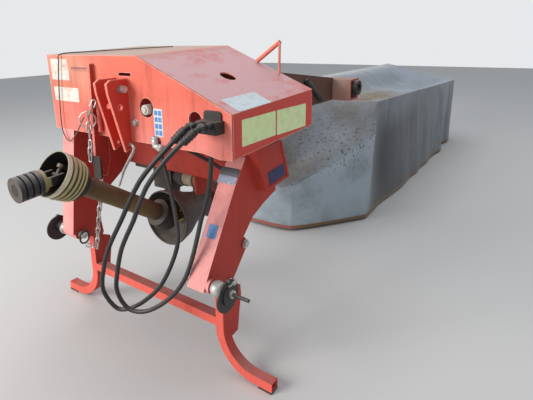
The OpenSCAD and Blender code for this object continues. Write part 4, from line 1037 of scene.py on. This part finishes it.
# %% Finishes for plates
def label(name, ground, worn, wear, dirt):
    """A plate's one colour, worn in patches, finely scratched and dirty."""
    f = Finish(name, roughness=0.38)
    body = f.mix(f.times(f.ramp(f.noise(22, 6, 0.7), 0.48, 0.62), wear), ground, worn)
    scratches = f.ramp(f.noise(1, 3, 0.6, f.stretched(60, 60, 420)), 0.66, 0.72)
    body = f.mix(f.times(scratches, 0.5), body, worn)
    body = f.mix(f.times(f.ramp(f.noise(40, 6, 0.7), 0.5, 0.7), dirt), body, srgb(110, 104, 92))
    f.colour(body)
    f.bump(f.noise(220, 3, 0.6), 0.1, 0.0003)
    return f.material


pale_blue = label("pale blue-grey plate", srgb(206, 220, 226), srgb(180, 178, 178), wear=0.35, dirt=0.25)
yellow_green = label("yellow-green plate", srgb(240, 255, 190), srgb(214, 222, 156), wear=0.35, dirt=0.2)
navy = label("navy plate", srgb(6, 22, 80), srgb(20, 38, 92), wear=0.5, dirt=0.1)
light_blue = label("light blue plate", srgb(72, 128, 186), srgb(150, 178, 204), wear=0.35, dirt=0.15)
worn_white = label("worn white plate", srgb(232, 226, 216), srgb(222, 168, 148), wear=0.75, dirt=0.25)
clean_white = label("white plate", srgb(222, 226, 230), srgb(196, 196, 192), wear=0.3, dirt=0.2)
faded_blue = label("faded blue print", srgb(86, 142, 204), srgb(160, 186, 214), wear=0.4, dirt=0.1)


# %% Plates
def plates(name, material, *corners):
    """Plates of one colour, each from three corners in the source's millimetres: first, along and up."""
    mesh = bmesh.new()
    for first, along, up in corners:
        plate(mesh, mm(*first), mm(*along) - mm(*first), mm(*up) - mm(*first))
    finished(name, mesh, material)


plates("slope_plate", pale_blue,
       ((415.3, 71.3, 1029.9), (488.5, 70.5, 999.5), (418.5, 250, 1035.8)))
plates("end_plates", yellow_green,
       ((490, 77, 886.5), (490, 278, 886.5), (490, 77, 972.5)),
       ((490, 287, 884.5), (490, 502, 880.5), (490, 287, 972.5)))
plates("beam_plate", navy,
       ((436, 327.4, 677.6), (436, 441, 689), (436, 312, 728.5)))
plates("leg_plate", light_blue,
       ((343, 55.6, 548.5), (383, 55.6, 548.5), (343, 80.8, 590.5)))
plates("panel_plates", worn_white,
       ((-432, 25, 1066), (-312, 25, 1066), (-432, 25, 1149)),
       ((-428, 25, 981), (-262, 25, 981), (-428, 25, 1037)))
plates("marked_plate", clean_white,
       ((157, 25, 893), (199, 25, 893), (157, 25, 990)))
marks = bmesh.new()
for row in range(4):
    for column in range(2):
        first = mm(161 + 18 * column, 23.8, 898 + 23 * row)
        plate(marks, first, LEFT * 0.015, upward * 0.017, thickness=0.0004, corner_radius=0.003)
finished("plate_marks", marks, faded_blue)


# %% The plate in two tones
def two_tone():
    """Blue-grey in its lower half and nearly black above."""
    f = Finish("two-tone plate", roughness=0.35)
    _, _, z = f.xyz()
    halves = f.ramp(z, 0.334, 0.337)
    flecks = f.ramp(f.noise(90, 3, 0.6), 0.55, 0.62)
    pale = f.mix(f.times(flecks, 0.6), srgb(112, 122, 146), srgb(160, 176, 204))
    f.colour(f.mix(halves, pale, srgb(38, 40, 50)))
    f.bump(f.noise(160, 3, 0.6), 0.15, 0.0004)
    return f.material


plates("serial_plate", two_tone(), ((318, 157.5, 714.5), (397, 157.5, 714.5), (318, 190, 768)))
